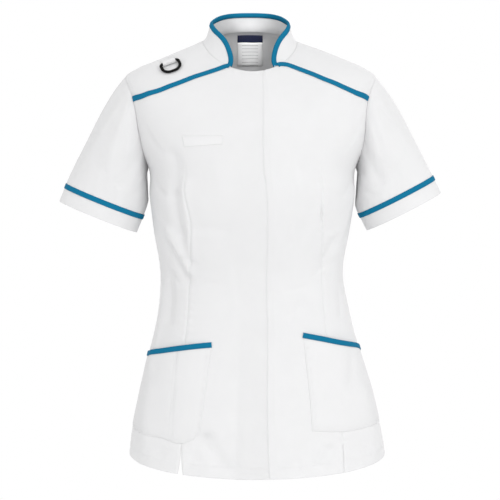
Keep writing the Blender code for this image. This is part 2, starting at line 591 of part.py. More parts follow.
def make_pockets():
    for name, side in (("right", -1), ("left", 1)):
        columns, rows = 10, 8
        top = path(POCKETS[name]["top"])(np.linspace(0, 1, columns + 1))
        bottom = path(POCKETS[name]["bottom"])(np.linspace(0, 1, columns + 1))
        outer = mix(bottom[0], top[0], np.linspace(0, 1, rows + 1)[:, None])
        inner = mix(bottom[-1], top[-1], np.linspace(0, 1, rows + 1)[:, None])
        places = filled(outer, inner, bottom, top)
        u = np.linspace(0, 1, columns + 1)[:, None]
        v = np.linspace(0, 1, rows + 1)[None, :]
        fullness = POCKET_FULLNESS * np.sin(np.pi * (0.12 + 0.76 * u)) * (0.25 + 0.75 * v)
        points = body_cloth(places, LAID_GAP + WALL + fullness)
        band_out = (LAID_GAP + WALL + fullness)[:, -1] + LAID_GAP
        if side > 0:
            points, top, band_out = points[::-1], top[::-1], band_out[::-1]
        cloth(f"pocket_{name}", points, white_cloth)
        centre = body_cloth(top)
        normals = body_normal(top[:, 0], top[:, 1])
        along = unit(np.gradient(centre, axis=0))
        up = unit(np.cross(normals, along))
        band = np.stack([centre + up * step + normals * band_out[:, None]
                         for step in (-POCKET_BAND_WIDTH + 1.0, -POCKET_BAND_WIDTH / 2, 1.0)], axis=1)
        cloth(f"pocket_band_{name}", band, teal_binding, wall=TRIM_WALL, outward=True)
    shares = np.linspace(0, 1, 6)[:, None]
    lower = mix(CHEST_POCKET["outer"][0], CHEST_POCKET["inner"][0], shares)
    upper = mix(CHEST_POCKET["outer"][1], CHEST_POCKET["inner"][1], shares)
    places = np.stack([lower, mix(lower, upper, 0.5), upper], axis=1)
    cloth("chest_pocket_welt", body_cloth(places, LAID_GAP), white_cloth, wall=TRIM_WALL, outward=True)


def make_label():
    """Label on the inside of the back, its points moved in from the cloth."""
    inside = -(WALL + LABEL_GAP + LABEL_WALL)
    for name, levels, look in (("label_band", LABEL_BAND_LEVELS, navy_label),
                               ("label_body", LABEL_BODY_LEVELS, white_label)):
        level = np.linspace(levels[1], levels[0], 5 if name == "label_body" else 3)
        depth = body_form(180.0, level)
        half = np.degrees(np.arcsin(LABEL_HALF_WIDTH / (np.interp(level, RINGS[:, LEVEL], RINGS[:, HALF_WIDTH]))))
        shares = np.linspace(-1, 1, 5)[:, None]
        places = np.stack(np.broadcast_arrays(180 - shares * half[None, :], level[None, :]), axis=-1)
        points = body_form(places[..., 0], places[..., 1])
        points = points + body_normal(places[..., 0], places[..., 1]) * inside
        points[..., 0] += LABEL_CENTRE_X - depth[None, :, 0]
        cloth(name, points[::-1], look, wall=LABEL_WALL)


def ring_frame():
    """Anchor on the cloth, direction of the bar, direction down the cloth, and outward normal."""
    anchor = body_form(*[np.array(v) for v in RING_ANCHOR])
    n = body_normal(*[np.array(v) for v in RING_ANCHOR])
    step = body_form(np.array(RING_ANCHOR[0]), np.array(RING_ANCHOR[1] - 2.0)) - anchor
    bar = unit(step - n * (step @ n))
    down = np.cross(bar, n)
    if down[2] > 0:
        down = -down
    return anchor, bar, down, n


def near_anchor(a, b):
    """Place on the form a mm along the bar and b mm down the cloth from the ring's anchor."""
    bar, down = ring_frame()[1:3]
    angle, level = RING_ANCHOR
    per_angle = (body_form(angle + 0.5, level) - body_form(angle - 0.5, level))
    per_level = (body_form(angle, level + 0.5) - body_form(angle, level - 0.5))
    matrix = np.array(((per_angle @ bar, per_level @ bar), (per_angle @ down, per_level @ down)))
    return np.array(RING_ANCHOR) + np.linalg.solve(matrix, np.array((a, b)))


def make_ring_tab():
    """A strip of cloth folded round the ring's bar, both ends sewn to the yoke behind it."""
    anchor, bar, down, n = ring_frame()
    lower = LAID_GAP + TAB_WALL
    upper = lower + TAB_LAYER_GAP + TAB_WALL
    columns = []
    for a in np.linspace(-TAB_HALF_WIDTH, TAB_HALF_WIDTH, 4):
        def cloth_point(b, out, a=a):
            place = near_anchor(a, b)
            return body_form(*place) + body_normal(*place) * out

        line = [cloth_point(b, lower) for b in np.linspace(-TAB_LENGTH, -TAB_EYE_RADIUS - TAB_EYE_START, 6)]
        centre = anchor + bar * a + n * RING_BAR_HEIGHT
        for t in np.radians(np.linspace(-TAB_EYE_TURN, TAB_EYE_TURN, 11)):
            line.append(centre + down * TAB_EYE_RADIUS * math.cos(t) + n * TAB_EYE_RADIUS * math.sin(t))
        line += [cloth_point(b, upper) for b in np.linspace(-TAB_EYE_RADIUS - TAB_EYE_START, -TAB_LENGTH, 6)]
        columns.append(line)
    points = np.array(columns)
    cloth("ring_tab", points, white_cloth, wall=TAB_WALL, outward=True)


def make_watch_ring():
    """Rounded D ring of black plastic on a straight bar, swinging in the tab."""
    anchor, bar, down, n = ring_frame()
    pivot = anchor + n * RING_BAR_HEIGHT
    half, length, corner, end = RING_HALF_WIDTH, RING_LENGTH, RING_CORNER, RING_END_CORNER
    outline = [(-half + end, 0.0), (half - end, 0.0)]
    for t in np.radians(np.linspace(-45, 0, 3)):
        outline.append((half - end + end * math.cos(t), end + end * math.sin(t)))
    for t in np.radians(np.linspace(0, 90, 7)):
        outline.append((half - corner + corner * math.cos(t), length - corner + corner * math.sin(t)))
    outline += [(-a, b) for a, b in outline[:1:-1]]
    curve = bpy.data.curves.new("fob_ring_path", "CURVE")
    curve.dimensions = "3D"
    spline = curve.splines.new("POLY")
    spline.points.add(len(outline) - 1)
    spline.use_cyclic_u = True
    turn = math.radians(RING_REST_TURN)
    lean = down * math.cos(turn) - n * math.sin(turn)
    for point, (a, b) in zip(spline.points, reversed(outline)):
        point.co = (*((bar * a + lean * b) * MM), 1.0)
    section = bpy.data.curves.new("fob_ring_section", "CURVE")
    section.dimensions = "2D"
    ring = section.splines.new("POLY")
    ring.points.add(RING_SECTION_SIDES - 1)
    ring.use_cyclic_u = True
    for k, point in enumerate(ring.points):
        a = -2 * math.pi * k / RING_SECTION_SIDES
        across, thick = RING_SECTION_HALF_WIDTH * math.cos(a), RING_SECTION_HALF_THICKNESS * math.sin(a)
        point.co = (across * MM, thick * MM, 0, 1)
    guide = bpy.data.objects.new("fob_ring_section", section)
    guide.hide_render = True
    guide.display_type = "WIRE"
    guides.objects.link(guide)
    curve.bevel_mode = "OBJECT"
    curve.bevel_object = guide
    made = bpy.data.objects.new("fob_ring", curve)
    curve.materials.append(black_plastic)
    tunic.objects.link(made)
    made.location = Vector(pivot) * MM


clear_scene()
tunic = bpy.data.collections.new("medical_tunic")
guides = bpy.data.collections.new("guides")
bpy.context.scene.collection.children.link(tunic)
bpy.context.scene.collection.children.link(guides)

white_cloth = material("white_cloth", WHITE, 0.85)
teal_binding = material("teal_binding", TEAL, 0.75)
black_plastic = material("black_plastic", BLACK, 0.45)
navy_label = material("navy_label", NAVY, 0.7)
white_label = material("white_label", WHITE, 0.6)

make_fronts()
make_back()
make_yokes()
make_sleeves()
make_collar()
make_pockets()
make_label()
make_ring_tab()
make_watch_ring()
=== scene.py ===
# %% [markdown]
# # A medical tunic, filled out as worn
# The real tunic is cut flat from white polyester-cotton, sewn from two fronts, a back, two shoulder yokes,
# sleeves and a stand collar, and bound with teal tape. Here each cut piece is a sheet of its own. The packed
# model is the frame: it gives the place of every piece, and each sheet takes the place of its plain solid.

# %% Load the frame
import math

import bpy
import numpy as np
from mathutils import Matrix, Vector, noise


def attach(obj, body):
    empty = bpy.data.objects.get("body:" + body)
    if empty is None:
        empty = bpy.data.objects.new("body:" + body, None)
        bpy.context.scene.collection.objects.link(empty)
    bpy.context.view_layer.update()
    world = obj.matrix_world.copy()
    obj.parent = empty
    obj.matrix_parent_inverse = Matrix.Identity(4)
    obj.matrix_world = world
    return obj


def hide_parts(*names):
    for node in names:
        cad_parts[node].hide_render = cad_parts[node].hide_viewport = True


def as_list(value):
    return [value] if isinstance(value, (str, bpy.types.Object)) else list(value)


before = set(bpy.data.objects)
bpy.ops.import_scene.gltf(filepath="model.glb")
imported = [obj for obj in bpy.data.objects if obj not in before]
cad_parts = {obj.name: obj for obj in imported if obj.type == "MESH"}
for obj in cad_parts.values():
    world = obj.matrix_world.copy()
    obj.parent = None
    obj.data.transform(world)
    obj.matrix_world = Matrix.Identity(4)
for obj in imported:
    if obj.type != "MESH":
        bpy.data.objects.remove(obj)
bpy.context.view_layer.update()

# %% [markdown]
# ## The body form
# A worn garment could be draped on a figure by simulation. Here its shape is read from the garment's own
# sizes instead: rings of known width and depth at known levels, joined by smooth curves, so the outline
# stays as cut. A place on the form is an angle around the body (0 in front, 90 at the wearer's left) and a
# level in millimetres below the neck points.

# %% Rings, armholes and seams of the form
MM = 0.001     # m; every length below is in mm unless it says m
WALL = 0.65    # thickness of the cloth
SIDES = {"right": -1, "left": 1}     # sign of X at the wearer's right and left

# Columns: level, which is also the drop in front, drop at the side, drop behind, half width, depth in
# front, depth behind, squareness, rise of the shoulders, centre, shift of the front
LEVEL, SIDE_DROP, HALF_WIDTH, FRONT_DEPTH, SQUARENESS, CENTRE = 0, 1, 3, 4, 6, 8
RINGS = np.array((
    (52, 2, -20, 75, 66, 66, 2.0, 1.3, 2, 5),            # neck seam
    (70, 11, -9, 101, 79, 80, 2.1, 1.5, 4, 3),
    (90, 27, 12, 141, 93, 96, 2.15, 1.8, 5, 1),
    (112, 45, 38, 182, 103, 108, 2.2, 2.0, 4, 0),
    (126, 58, 60, 199, 108, 113, 2.25, 2.0, 3, 0),       # shoulder points
    (150, 108, 106, 198, 116, 117, 2.3, 2.0, 4, 0),
    (175, 160, 156, 184, 121, 117, 2.35, 2.0, 6, 0),
    (202, 200, 202, 165, 124, 114, 2.4, 2.0, 6, 0),      # underarm
    (245, 244, 245, 163, 126, 108, 2.4, 2.0, 6, 0),      # bust
    (302, 301, 302, 156, 117, 97, 2.35, 2.0, 5, 0),
    (372, 370, 372, 146, 103, 86, 2.3, 2.0, 5, 0),       # waist
    (430, 426, 428, 152, 104, 92, 2.3, 2.0, 8, 0),
    (500, 493, 497, 168, 110, 106, 2.35, 2.0, 10, 0),    # top of the hip pockets
    (570, 558, 564, 186, 117, 115, 2.4, 1.8, 12, 0),
    (630, 614, 622, 199, 122, 118, 2.4, 1.6, 13, 0),
    (679, 655, 668, 205, 125, 119, 2.4, 1.4, 14, 0),     # hem
), float)
NECK_LEVEL, UNDERARM_LEVEL, HEM_LEVEL = 52, 202, 679
SIDE_SEAM = 90           # angle
GIRTH_PER_DEGREE = 2.5   # mm around the body for one degree, near enough to measure paths

# Columns: turn around the armhole from the underarm, angle, level
ARMHOLE = np.array((
    (0, 90, 202), (25, 80, 195), (50, 71, 184), (75, 65, 168), (100, 61.5, 152), (120, 62, 139),
    (140, 67, 132), (160, 78, 127), (180, 90, 125), (200, 102, 127), (220, 112, 132),
    (240, 117, 139), (260, 118, 152), (285, 115, 168), (310, 109, 184), (335, 100, 195),
    (360, 90, 202),
), float)
FRONT_END, YOKE_END = 120, 212     # turns at which the front yoke seam and the back yoke seam end
YOKE_SEAMS = {
    "right": ((30, 52), (36.8, 65.3), (41.1, 84.4), (43.2, 102.5), (46.7, 120.4), (50.7, 128.7), (62, 139)),
    "left": ((33.4, 52), (40.8, 59.5), (43.3, 70.1), (44.6, 82), (46, 99), (50, 123.5), (62, 139)),
}
BACK_YOKE_ANGLE = 123

# Columns: level, angle. The right front ends at LAP, and the left front runs on below it to UNDERLAP.
LAP = np.array((
    (52, 12.4), (60, 10.2), (77, 7.8), (99, 6.2), (130, 5.6), (185, 5.4), (220, 6.8), (238, 7.6),
    (343, 9.1), (435, 7.9), (580, 5.2), (679, 5.1),
), float)
UNDERLAP = np.array(((52, -16), (80, -13), (200, -10), (679, -9)), float)
LAP_STEP_DEGREES = (0.6, 3.0)    # two columns of the left front, counted from the lap's edge
LAP_RISE_DEGREES = 1.0           # how far past them the left front is level again
LAP_DIP = 0.8

# Columns: level, angle
DARTS = {
    "right": np.array(((202, 36.5), (231, 37.3), (283, 34.7), (344, 37.5), (375, 39.6), (436, 40.2),
                       (478, 39.8), (564, 36.2), (634, 33.9), (679, 33.6)), float),
    "left": np.array(((202, 37), (230, 38.8), (264, 39.2), (324, 43.5), (344, 45.5), (427, 44.2),
                      (502, 41), (581, 39.3), (641, 39), (679, 38)), float),
}
VENT_OPENING = {"right": 8.0, "left": 1.2}


def smooth(x, stations, values):
    """Value at x of the smooth curve through the table rows."""
    x = np.asarray(x, float)
    slopes = np.gradient(values, stations, axis=0)
    row = np.clip(np.searchsorted(stations, x, side="right") - 1, 0, len(stations) - 2)
    step = stations[row + 1] - stations[row]
    f = np.clip((x - stations[row]) / step, 0, 1)
    if values.ndim > 1:
        f = f[..., None]
        step = step[..., None]
    start = (1 + 2 * f) * (1 - f) ** 2 * values[row] + f * (1 - f) ** 2 * step * slopes[row]
    end = f ** 2 * (3 - 2 * f) * values[row + 1] - f ** 2 * (1 - f) * step * slopes[row + 1]
    return start + end


def unit(v):
    return v / np.linalg.norm(v, axis=-1, keepdims=True)


def mix(a, b, f):
    return np.asarray(a) * (1 - f) + np.asarray(b) * f


def body_form(angle, level):
    """Point of the body form, in mm, without its folds."""
    angle, level = np.broadcast_arrays(np.asarray(angle, float), np.asarray(level, float))
    row = smooth(level, RINGS[:, LEVEL], RINGS)
    front_drop, side, back, width, front, rear, square, rise, centre, shift = np.moveaxis(row, -1, 0)
    s = np.sin(np.radians(angle))
    c = np.cos(np.radians(angle))
    reach = (np.abs(s) ** square + np.abs(c) ** square) ** (-1 / square)
    drop = side + (np.where(c > 0, front_drop, back) - side) * np.abs(c) ** rise
    depth = np.where(c > 0, front, rear)
    x = centre + shift * np.clip(c, 0, 1) + width * reach * s
    return np.stack([x, -depth * reach * c, -drop], axis=-1)


def body_normal(angle, level):
    around = body_form(angle + 0.2, level) - body_form(angle - 0.2, level)
    down = body_form(angle, level + 0.3) - body_form(angle, level - 0.3)
    return unit(np.cross(down, around))


def path(points):
    """A smooth curve through places on the form, as a function of 0 to 1 along it."""
    points = np.array(points, float)
    steps = np.hypot(np.diff(points[:, 0]) * GIRTH_PER_DEGREE, np.diff(points[:, 1]))
    stations = np.concatenate([[0], np.cumsum(steps)]) / steps.sum()
    return lambda along: smooth(along, stations, points)


def armhole(turn, side):
    """Place on the armhole at a turn in degrees, side -1 for the wearer's right."""
    place = smooth(np.asarray(turn, float), ARMHOLE[:, 0], ARMHOLE[:, 1:])
    return place * np.array((side, 1.0))


def at_level(rows, level):
    """Angle of an edge or a seam at a level, from its rows of level and angle."""
    return smooth(level, rows[:, 0], rows[:, 1])


def edge_line(rows, levels):
    """Places of an edge or a seam at some levels."""
    return np.stack([at_level(rows, levels), levels], axis=-1)


def on_neck(angles):
    """Places on the neck seam."""
    return np.stack([angles, np.full(len(angles), float(NECK_LEVEL))], axis=-1)


def form_at(places):
    """Points of the form at an array of (angle, level)."""
    return body_form(places[..., 0], places[..., 1])


def normal_at(places):
    return body_normal(places[..., 0], places[..., 1])


def beside(line, normals):
    """Directions across a line on the cloth, to its left seen from outside."""
    return unit(np.cross(normals, unit(np.gradient(line, axis=0))))


neck_point = body_form(90.0, NECK_LEVEL)
hem_point = body_form(0.0, HEM_LEVEL)
print("form: neck point", np.round(neck_point), "front of the hem", np.round(hem_point), "mm")

# %% [markdown]
# ## Folds
# Folds could come from a cloth simulation, but those never fall where the photograph shows them. Each one
# here is a soft trough or ridge along a short line, faded out at both ends, its depth and width given one by
# one. Small uneven waves from noise lie over all of it, as pressed cotton keeps them.

# %% Main folds and small creases
# Columns: angle and level at one end, angle and level at the other, half width, height
FOLDS = np.array((
    (-41, 188, -44, 245, 11, -3.2), (-44, 245, -41, 304, 9, -3.0), (-41, 304, -38.5, 351, 8, -2.4),
    (-52, 300, -39, 360, 8, 3.6), (-55, 320, -41, 376, 8, -3.0), (-37.5, 228, -36.5, 340, 10, 2.2),
    (-58, 371, -56, 440, 12, -3.0), (-70, 400, -64, 520, 14, 2.4), (-31, 296, -15, 295, 9, -1.2),
    (51, 319, 46, 346, 8, -2.6), (26, 297, 23, 317, 10, -1.4), (27, 415, 22, 425, 10, -1.4),
    (64, 405, 60, 436, 9, -2.4), (59, 500, 51, 545, 10, -2.2), (70, 240, 58, 330, 13, 2.4),
    (-23, 620, -28, 648, 9, -3.0), (-23, 620, -14, 660, 9, -2.6), (32, 638, 28, 660, 8, -2.4),
    (-60, 560, -55, 660, 16, 2.6), (62, 560, 60, 660, 16, 2.2), (-8, 600, -6, 679, 14, 1.8),
    (150, 330, 175, 352, 10, -3.0), (208, 322, 186, 348, 10, -2.8), (130, 350, 160, 392, 11, 2.6),
    (228, 355, 200, 396, 11, 2.4), (142, 470, 146, 660, 15, 3.0), (214, 480, 210, 662, 15, 2.8),
    (178, 520, 181, 668, 16, -2.4), (118, 230, 128, 330, 12, -2.6), (242, 236, 233, 325, 12, -2.8),
    (112, 560, 116, 660, 14, -2.2), (250, 550, 246, 660, 14, -2.4),
), float)

# Columns: angle and level at one end, the same at the other, bow to the side, half width, height
CREASES = np.array((
    (-66, 215, -46, 250, 4, 5, -1.3), (-70, 262, -50, 300, 3, 6, 1.1), (-48, 340, -30, 352, -3, 5, -1.0),
    (-60, 352, -42, 388, 4, 4, -1.2), (-34, 372, -18, 380, 3, 5, -0.7), (-62, 300, -48, 322, -3, 5, 0.9),
    (66, 222, 48, 256, -4, 5, -1.1), (68, 300, 50, 338, -4, 5, -1.0), (56, 352, 38, 372, 4, 5, -1.0),
    (34, 384, 14, 396, -3, 5, -0.7), (60, 300, 47, 312, 2, 4, 0.8), (62, 372, 50, 392, 3, 5, 0.9),
    (-12, 330, -10, 420, 3, 7, 0.6), (20, 190, 24, 250, -4, 9, 0.7), (-22, 200, -20, 262, 4, 9, -0.7),
    (30, 480, 32, 590, 3, 8, 0.8), (-12, 470, -16, 560, -4, 9, -0.6), (-40, 640, -46, 668, 2, 4, -0.9),
    (-52, 646, -56, 674, -2, 4, -0.9), (-16, 650, -19, 676, 2, 4, -0.8), (18, 646, 20, 676, 2, 4, -0.8),
    (52, 640, 56, 672, 2, 4, -0.9), (66, 636, 70, 668, -2, 5, 0.9), (-70, 640, -74, 666, 2, 5, 0.9),
    (136, 300, 158, 322, 4, 6, -1.2), (224, 296, 204, 320, -4, 6, -1.1), (150, 366, 178, 382, 4, 6, -1.2),
    (210, 372, 186, 386, -3, 6, 1.0), (122, 380, 140, 410, 4, 6, -1.1), (238, 384, 222, 412, -4, 6, -1.0),
    (150, 212, 158, 262, 4, 9, -1.0), (212, 206, 204, 268, -4, 9, -1.1), (168, 420, 166, 520, 4, 9, 0.9),
    (194, 430, 197, 540, -4, 9, -0.9), (130, 600, 134, 672, 3, 7, 1.0), (160, 610, 158, 674, -3, 7, -0.9),
    (200, 606, 204, 672, 3, 7, 0.9), (232, 600, 228, 670, -3, 7, -1.0), (112, 330, 126, 356, 3, 5, -1.1),
    (248, 334, 236, 360, -3, 5, -1.1), (-56, 150, -44, 190, 4, 6, -0.9), (56, 150, 46, 186, -4, 6, -0.8),
    (120, 168, 134, 214, 5, 7, -1.1), (240, 168, 228, 212, -5, 7, -1.0),
), float)
WAVE_LENGTH, WAVE_HEIGHT, WAVE_STRETCH = 55.0, 0.9, 0.6
RIPPLE_LENGTH, RIPPLE_HEIGHT, RIPPLE_STRETCH = 15.0, 0.22, 0.7
FOLD_SCALE, CREASE_SCALE = 1.15, 1.5     # folds are a little sharper here than on the frame
CREASE_FLANKS = (0.7, 1.5)               # a crease is wide on one side and steep on the other
BODY_SCALE = (GIRTH_PER_DEGREE, 1.0)     # mm for a degree of angle and for a unit of level


def on_line(across, along, ends, scale):
    """Offsets in mm from a line's first end, its run, and the share of it nearest to each place."""
    a0, b0, a1, b1 = ends
    run = np.array(((a1 - a0) * scale[0], (b1 - b0) * scale[1]))
    da = ((across - a0 + 180) % 360 - 180) * scale[0]
    db = (along - b0) * scale[1]
    return da, db, run, np.clip((da * run[0] + db * run[1]) / (run @ run), 0, 1)


def fold_height(across, along, rows, scale):
    """Height of round-ended folds at a place given in two units that are scale mm long."""
    height = np.zeros(np.shape(across))
    for *ends, half_width, rise in rows:
        da, db, run, f = on_line(across, along, ends, scale)
        away = np.hypot(da - f * run[0], db - f * run[1])
        height = height + rise * np.exp(-(away / half_width) ** 2)
    return height


def crease_height(across, along, rows, scale):
    """Height of thin bowed creases that fade out towards both ends, steeper on one side."""
    height = np.zeros(np.shape(across))
    for *ends, bow, half_width, rise in rows:
        da, db, run, f = on_line(across, along, ends, scale)
        away = (db * run[0] - da * run[1]) / np.hypot(*run) - bow * 4 * f * (1 - f)
        away = away * np.where(away > 0, *CREASE_FLANKS)
        height = height + rise * np.sin(np.pi * f) ** 1.2 * np.exp(-(away / half_width) ** 2)
    return height


def crumple(points):
    """Small waves of the cloth at points in mm, longer down the cloth than across it."""
    heights = []
    for x, y, z in points.reshape(-1, 3):
        wave = noise.noise(Vector((x, y, z * WAVE_STRETCH)) / WAVE_LENGTH)
        ripple = noise.noise(Vector((x, y, z * RIPPLE_STRETCH)) / RIPPLE_LENGTH)
        heights.append(WAVE_HEIGHT * wave + RIPPLE_HEIGHT * ripple)
    return np.array(heights).reshape(points.shape[:-1])


def body_cloth(places, out=0.0):
    """Points of the cloth at an array of (angle, level), moved out by some mm."""
    form = form_at(places)
    folds = FOLD_SCALE * fold_height(places[..., 0], places[..., 1], FOLDS, BODY_SCALE)
    creases = CREASE_SCALE * crease_height(places[..., 0], places[..., 1], CREASES, BODY_SCALE)
    return form + normal_at(places) * np.asarray(folds + creases + crumple(form) + out)[..., None]


print("folds:", len(FOLDS), "large and", len(CREASES), "small")

# %% [markdown]
# ## From a grid of points to a sheet
# A garment sheet could be a subdivided plane pushed into place. A grid of rows and columns that follow the
# real grain and seams is surer: its edges are the cut edges, and lengths measured along it give the flat
# cut and the UV map that the weave follows. A Solidify modifier then gives it the thickness of cloth.

# %% Sheets from grids
def running_length(points, axis):
    """Length along one direction of a grid, from its first edge to each point."""
    steps = np.linalg.norm(np.diff(points, axis=axis), axis=-1)
    pad = [(0, 0), (0, 0)]
    pad[axis] = (1, 0)
    return np.pad(np.cumsum(steps, axis=axis), pad)


def spaced(length, cell=3.2, near=(0, 0.9, 2.0, 3.6, 6.0)):
    """Shares from 0 to 1 along a length, closer together at its two ends, where seams are."""
    near = np.array(near, float)
    middle = np.linspace(near[-1], length - near[-1], max(2, round((length - 2 * near[-1]) / cell) + 1))
    return np.concatenate([near[:-1], middle, length - near[-2::-1]]) / length


def filled(left, right, bottom, top, u, v, late=1.0):
    """A grid of places between four edges: left and right run upwards, bottom and top to the right."""
    u = u[:, None, None]
    v = v[None, :, None] ** late
    sides = (1 - u) * left[None] + u * right[None] + (1 - v) * bottom[:, None] + v * top[:, None]
    corners = ((1 - u) * (1 - v) * bottom[0] + u * (1 - v) * bottom[-1]
               + (1 - u) * v * top[0] + u * v * top[-1])
    return sides - corners


def new_piece(name, vertices, faces, uv, look):
    """An object from points in mm and faces, with its map of the grain and its one material."""
    mesh = bpy.data.meshes.new(name)
    mesh.from_pydata((vertices * MM).tolist(), [], faces)
    mesh.uv_layers.new(name="grain").data.foreach_set("uv", uv.ravel())
    mesh.shade_smooth()
    mesh.materials.append(look)
    made = bpy.data.objects.new(name, mesh)
    bpy.context.scene.collection.objects.link(made)
    return made


def sheet_piece(name, points, look, wall=WALL, closed=False, slit=None, outward=False, twin=None):
    """A sheet on a grid of points in mm: columns to the right seen from outside, rows upwards.
    A slit is (column, row where it ends), and twin is that column's points on the slit's right side."""
    columns, rows = points.shape[:2]
    uv = np.stack([running_length(points, 0).mean(1)[:, None] + np.zeros(rows),
                   running_length(points, 1).mean(0)[None, :] + np.zeros((columns, 1))], axis=-1)
    index = np.arange(columns * rows).reshape(columns, rows)
    if closed:
        index[-1] = index[0]
        points = points[:-1]
    vertices = points.reshape(-1, 3)
    parts = [(0, columns - 1, index)]
    if slit:
        column, ends = slit
        right = index.copy()
        right[column, :ends] = len(vertices) + np.arange(ends)
        vertices = np.concatenate([vertices, twin[:ends]])
        parts = [(0, column, index), (column, columns - 1, right)]
    faces, corners = [], []
    for first, last, number in parts:
        for table, store in ((number, faces), (uv, corners)):
            block = table[first:last + 1]
            cell = [block[:-1, :-1], block[1:, :-1], block[1:, 1:], block[:-1, 1:]]
            stacked = np.stack(cell, axis=2)
            store.append(stacked.reshape(-1, *stacked.shape[2:]))
    made = new_piece(name, vertices, np.concatenate(faces).tolist(), np.concatenate(corners) * MM, look)
    thick = made.modifiers.new("Wall", "SOLIDIFY")
    thick.thickness = wall * MM
    thick.offset = 1.0 if outward else -1.0
    thick.use_even_offset = True
    return made


def flat_cut(points, allowance=20.0):
    """Width, length and area of the flat cut, in metres, measured on the grid and with its allowances."""
    width = running_length(points, 0)[-1].max() + allowance
    length = running_length(points, 1)[:, -1].max() + allowance
    across = np.diff(points, axis=0)[:, :-1]
    along = np.diff(points, axis=1)[:-1]
    area = np.linalg.norm(np.cross(across, along), axis=-1).sum() + allowance * (width + length - allowance)
    return width * MM, length * MM, min(area * MM * MM, width * length * MM * MM)


def dress(made, node, slot, points=None, held="draped", rests_on=(), with_pieces=(), allowance=20.0):
    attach(made, "tunic")
    if node:
        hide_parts(node)
    if points is not None:
        width, length, area = flat_cut(points, allowance)
        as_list(rests_on)
        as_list(with_pieces)
        print(f"{made.name}: cut {width * 100:.0f} x {length * 100:.0f} cm, {area:.3f} m2")
    return made

# %% [markdown]
# ## Seams
# Where two pieces are sewn, both edges roll inwards and the thread draws the cloth into small puckers. Real
# seams have allowances inside, which nobody sees, so only the roll and the puckers are made, as heights
# that fade out a few millimetres from the edge.

# %% Rolled seams and puckers
SEAM_ROLL, SEAM_ROLL_WIDTH = 0.4, 1.7
PUCKER_HEIGHT, PUCKER_LENGTH, PUCKER_REACH = 0.5, 14.0, 9.0


def seam_height(distance, along, phase, roll=SEAM_ROLL, pucker=1.0):
    """Height near a seam from the distance to it and the length along it, both in mm."""
    wave = np.sin(2 * np.pi * along / PUCKER_LENGTH + phase + 2.2 * np.sin(along / 31.0 + phase))
    uneven = 0.55 + 0.45 * np.sin(along / 47.0 + 2 * phase)
    swell = (1 - np.exp(-(distance / SEAM_ROLL_WIDTH) ** 2)) * np.exp(-(distance / PUCKER_REACH) ** 1.5)
    return pucker * PUCKER_HEIGHT * wave * uneven * swell - roll * np.exp(-(distance / SEAM_ROLL_WIDTH) ** 2)


def edge_heights(points, seams, phase=0.0, roll=SEAM_ROLL):
    """Heights of a panel from its sewn edges, out of left, right, bottom and top."""
    across, along = running_length(points, 0), running_length(points, 1)
    distance = {"left": (across, along), "right": (across[-1:] - across, along),
                "bottom": (along, across), "top": (along[:, -1:] - along, across)}
    total = np.zeros(across.shape)
    for k, name in enumerate(seams):
        total += seam_height(*distance[name], phase + 1.7 * k, roll)
    return total


print("seams roll in by", SEAM_ROLL, "mm")

# %% [markdown]
# ## Shader helper
# Noise and waves are easier to read as expressions than as loose nodes. This small class wraps a socket, so
# that sums and products of sockets add the Math nodes by themselves.

# %% Socket expressions
class Wire:
    """A socket that can be used in expressions."""

    def __init__(self, tree, socket):
        self.tree = tree
        self.socket = socket

    def math(self, operation, *others):
        return node(self.tree, "ShaderNodeMath", {"operation": operation}, enumerate([self, *others]))

    def __add__(self, other):
        return self.math("ADD", other)

    def __mul__(self, other):
        return self.math("MULTIPLY", other)

    def __sub__(self, other):
        return self.math("SUBTRACT", other)


def node(tree, kind, settings=(), inputs=(), output=0):
    """Adds a node with its settings and inputs, and returns one of its outputs."""
    made = tree.nodes.new(kind)
    for name, value in dict(settings).items():
        setattr(made, name, value)
    for key, value in dict(inputs).items():
        socket = made.inputs[key]
        if isinstance(value, Wire):
            tree.links.new(value.socket, socket)
        else:
            socket.default_value = value
    return Wire(tree, made.outputs[output])


def new_material(name, roughness, sheen=0.0, specular=0.3):
    """A material with its constants set, its node tree and its shader."""
    made = bpy.data.materials.new(name)
    made.use_nodes = True
    tree = made.node_tree
    shader = tree.nodes["Principled BSDF"]
    shader.inputs["Roughness"].default_value = roughness
    shader.inputs["Specular IOR Level"].default_value = specular
    shader.inputs["Sheen Weight"].default_value = sheen
    return made, tree, shader


def speckle(tree, scale, detail=2.0, roughness=0.5):
    """Noise that stays with the piece."""
    place = node(tree, "ShaderNodeTexCoord", output=3)
    return node(tree, "ShaderNodeTexNoise", inputs={"Vector": place, "Scale": scale, "Detail": detail,
                                                    "Roughness": roughness})


def bump(tree, strength, distance, height, **more):
    return node(tree, "ShaderNodeBump", inputs={"Strength": strength, "Distance": distance,
                                                "Height": height, **more})


def feed(tree, shader, name, value):
    tree.links.new(value.socket, shader.inputs[name])


def two_shades(tree, shader, factor, first, second):
    """Paints the base colour with a mix of two shades."""
    shade = node(tree, "ShaderNodeMix", {"data_type": "RGBA"}, {0: factor, 6: first, 7: second}, output=2)
    feed(tree, shader, "Base Color", shade)


def grain_map(tree):
    """The two coordinates of the map of the grain, across the cloth and along it, in m."""
    uv = node(tree, "ShaderNodeUVMap", {"uv_map": "grain"})
    return [node(tree, "ShaderNodeSeparateXYZ", inputs={0: uv}, output=k) for k in (0, 1)]


print("shader helper ready")

# %% [markdown]
# ## Woven cloth
# The tunic's cloth is a plain weave of polyester and cotton, with threads 0.3 mm apart and almost no gloss.
# The weave is made from two crossed sets of waves on the UV map, so it follows the grain of each piece.
# Larger noise gives the soft unevenness of pressed cotton.

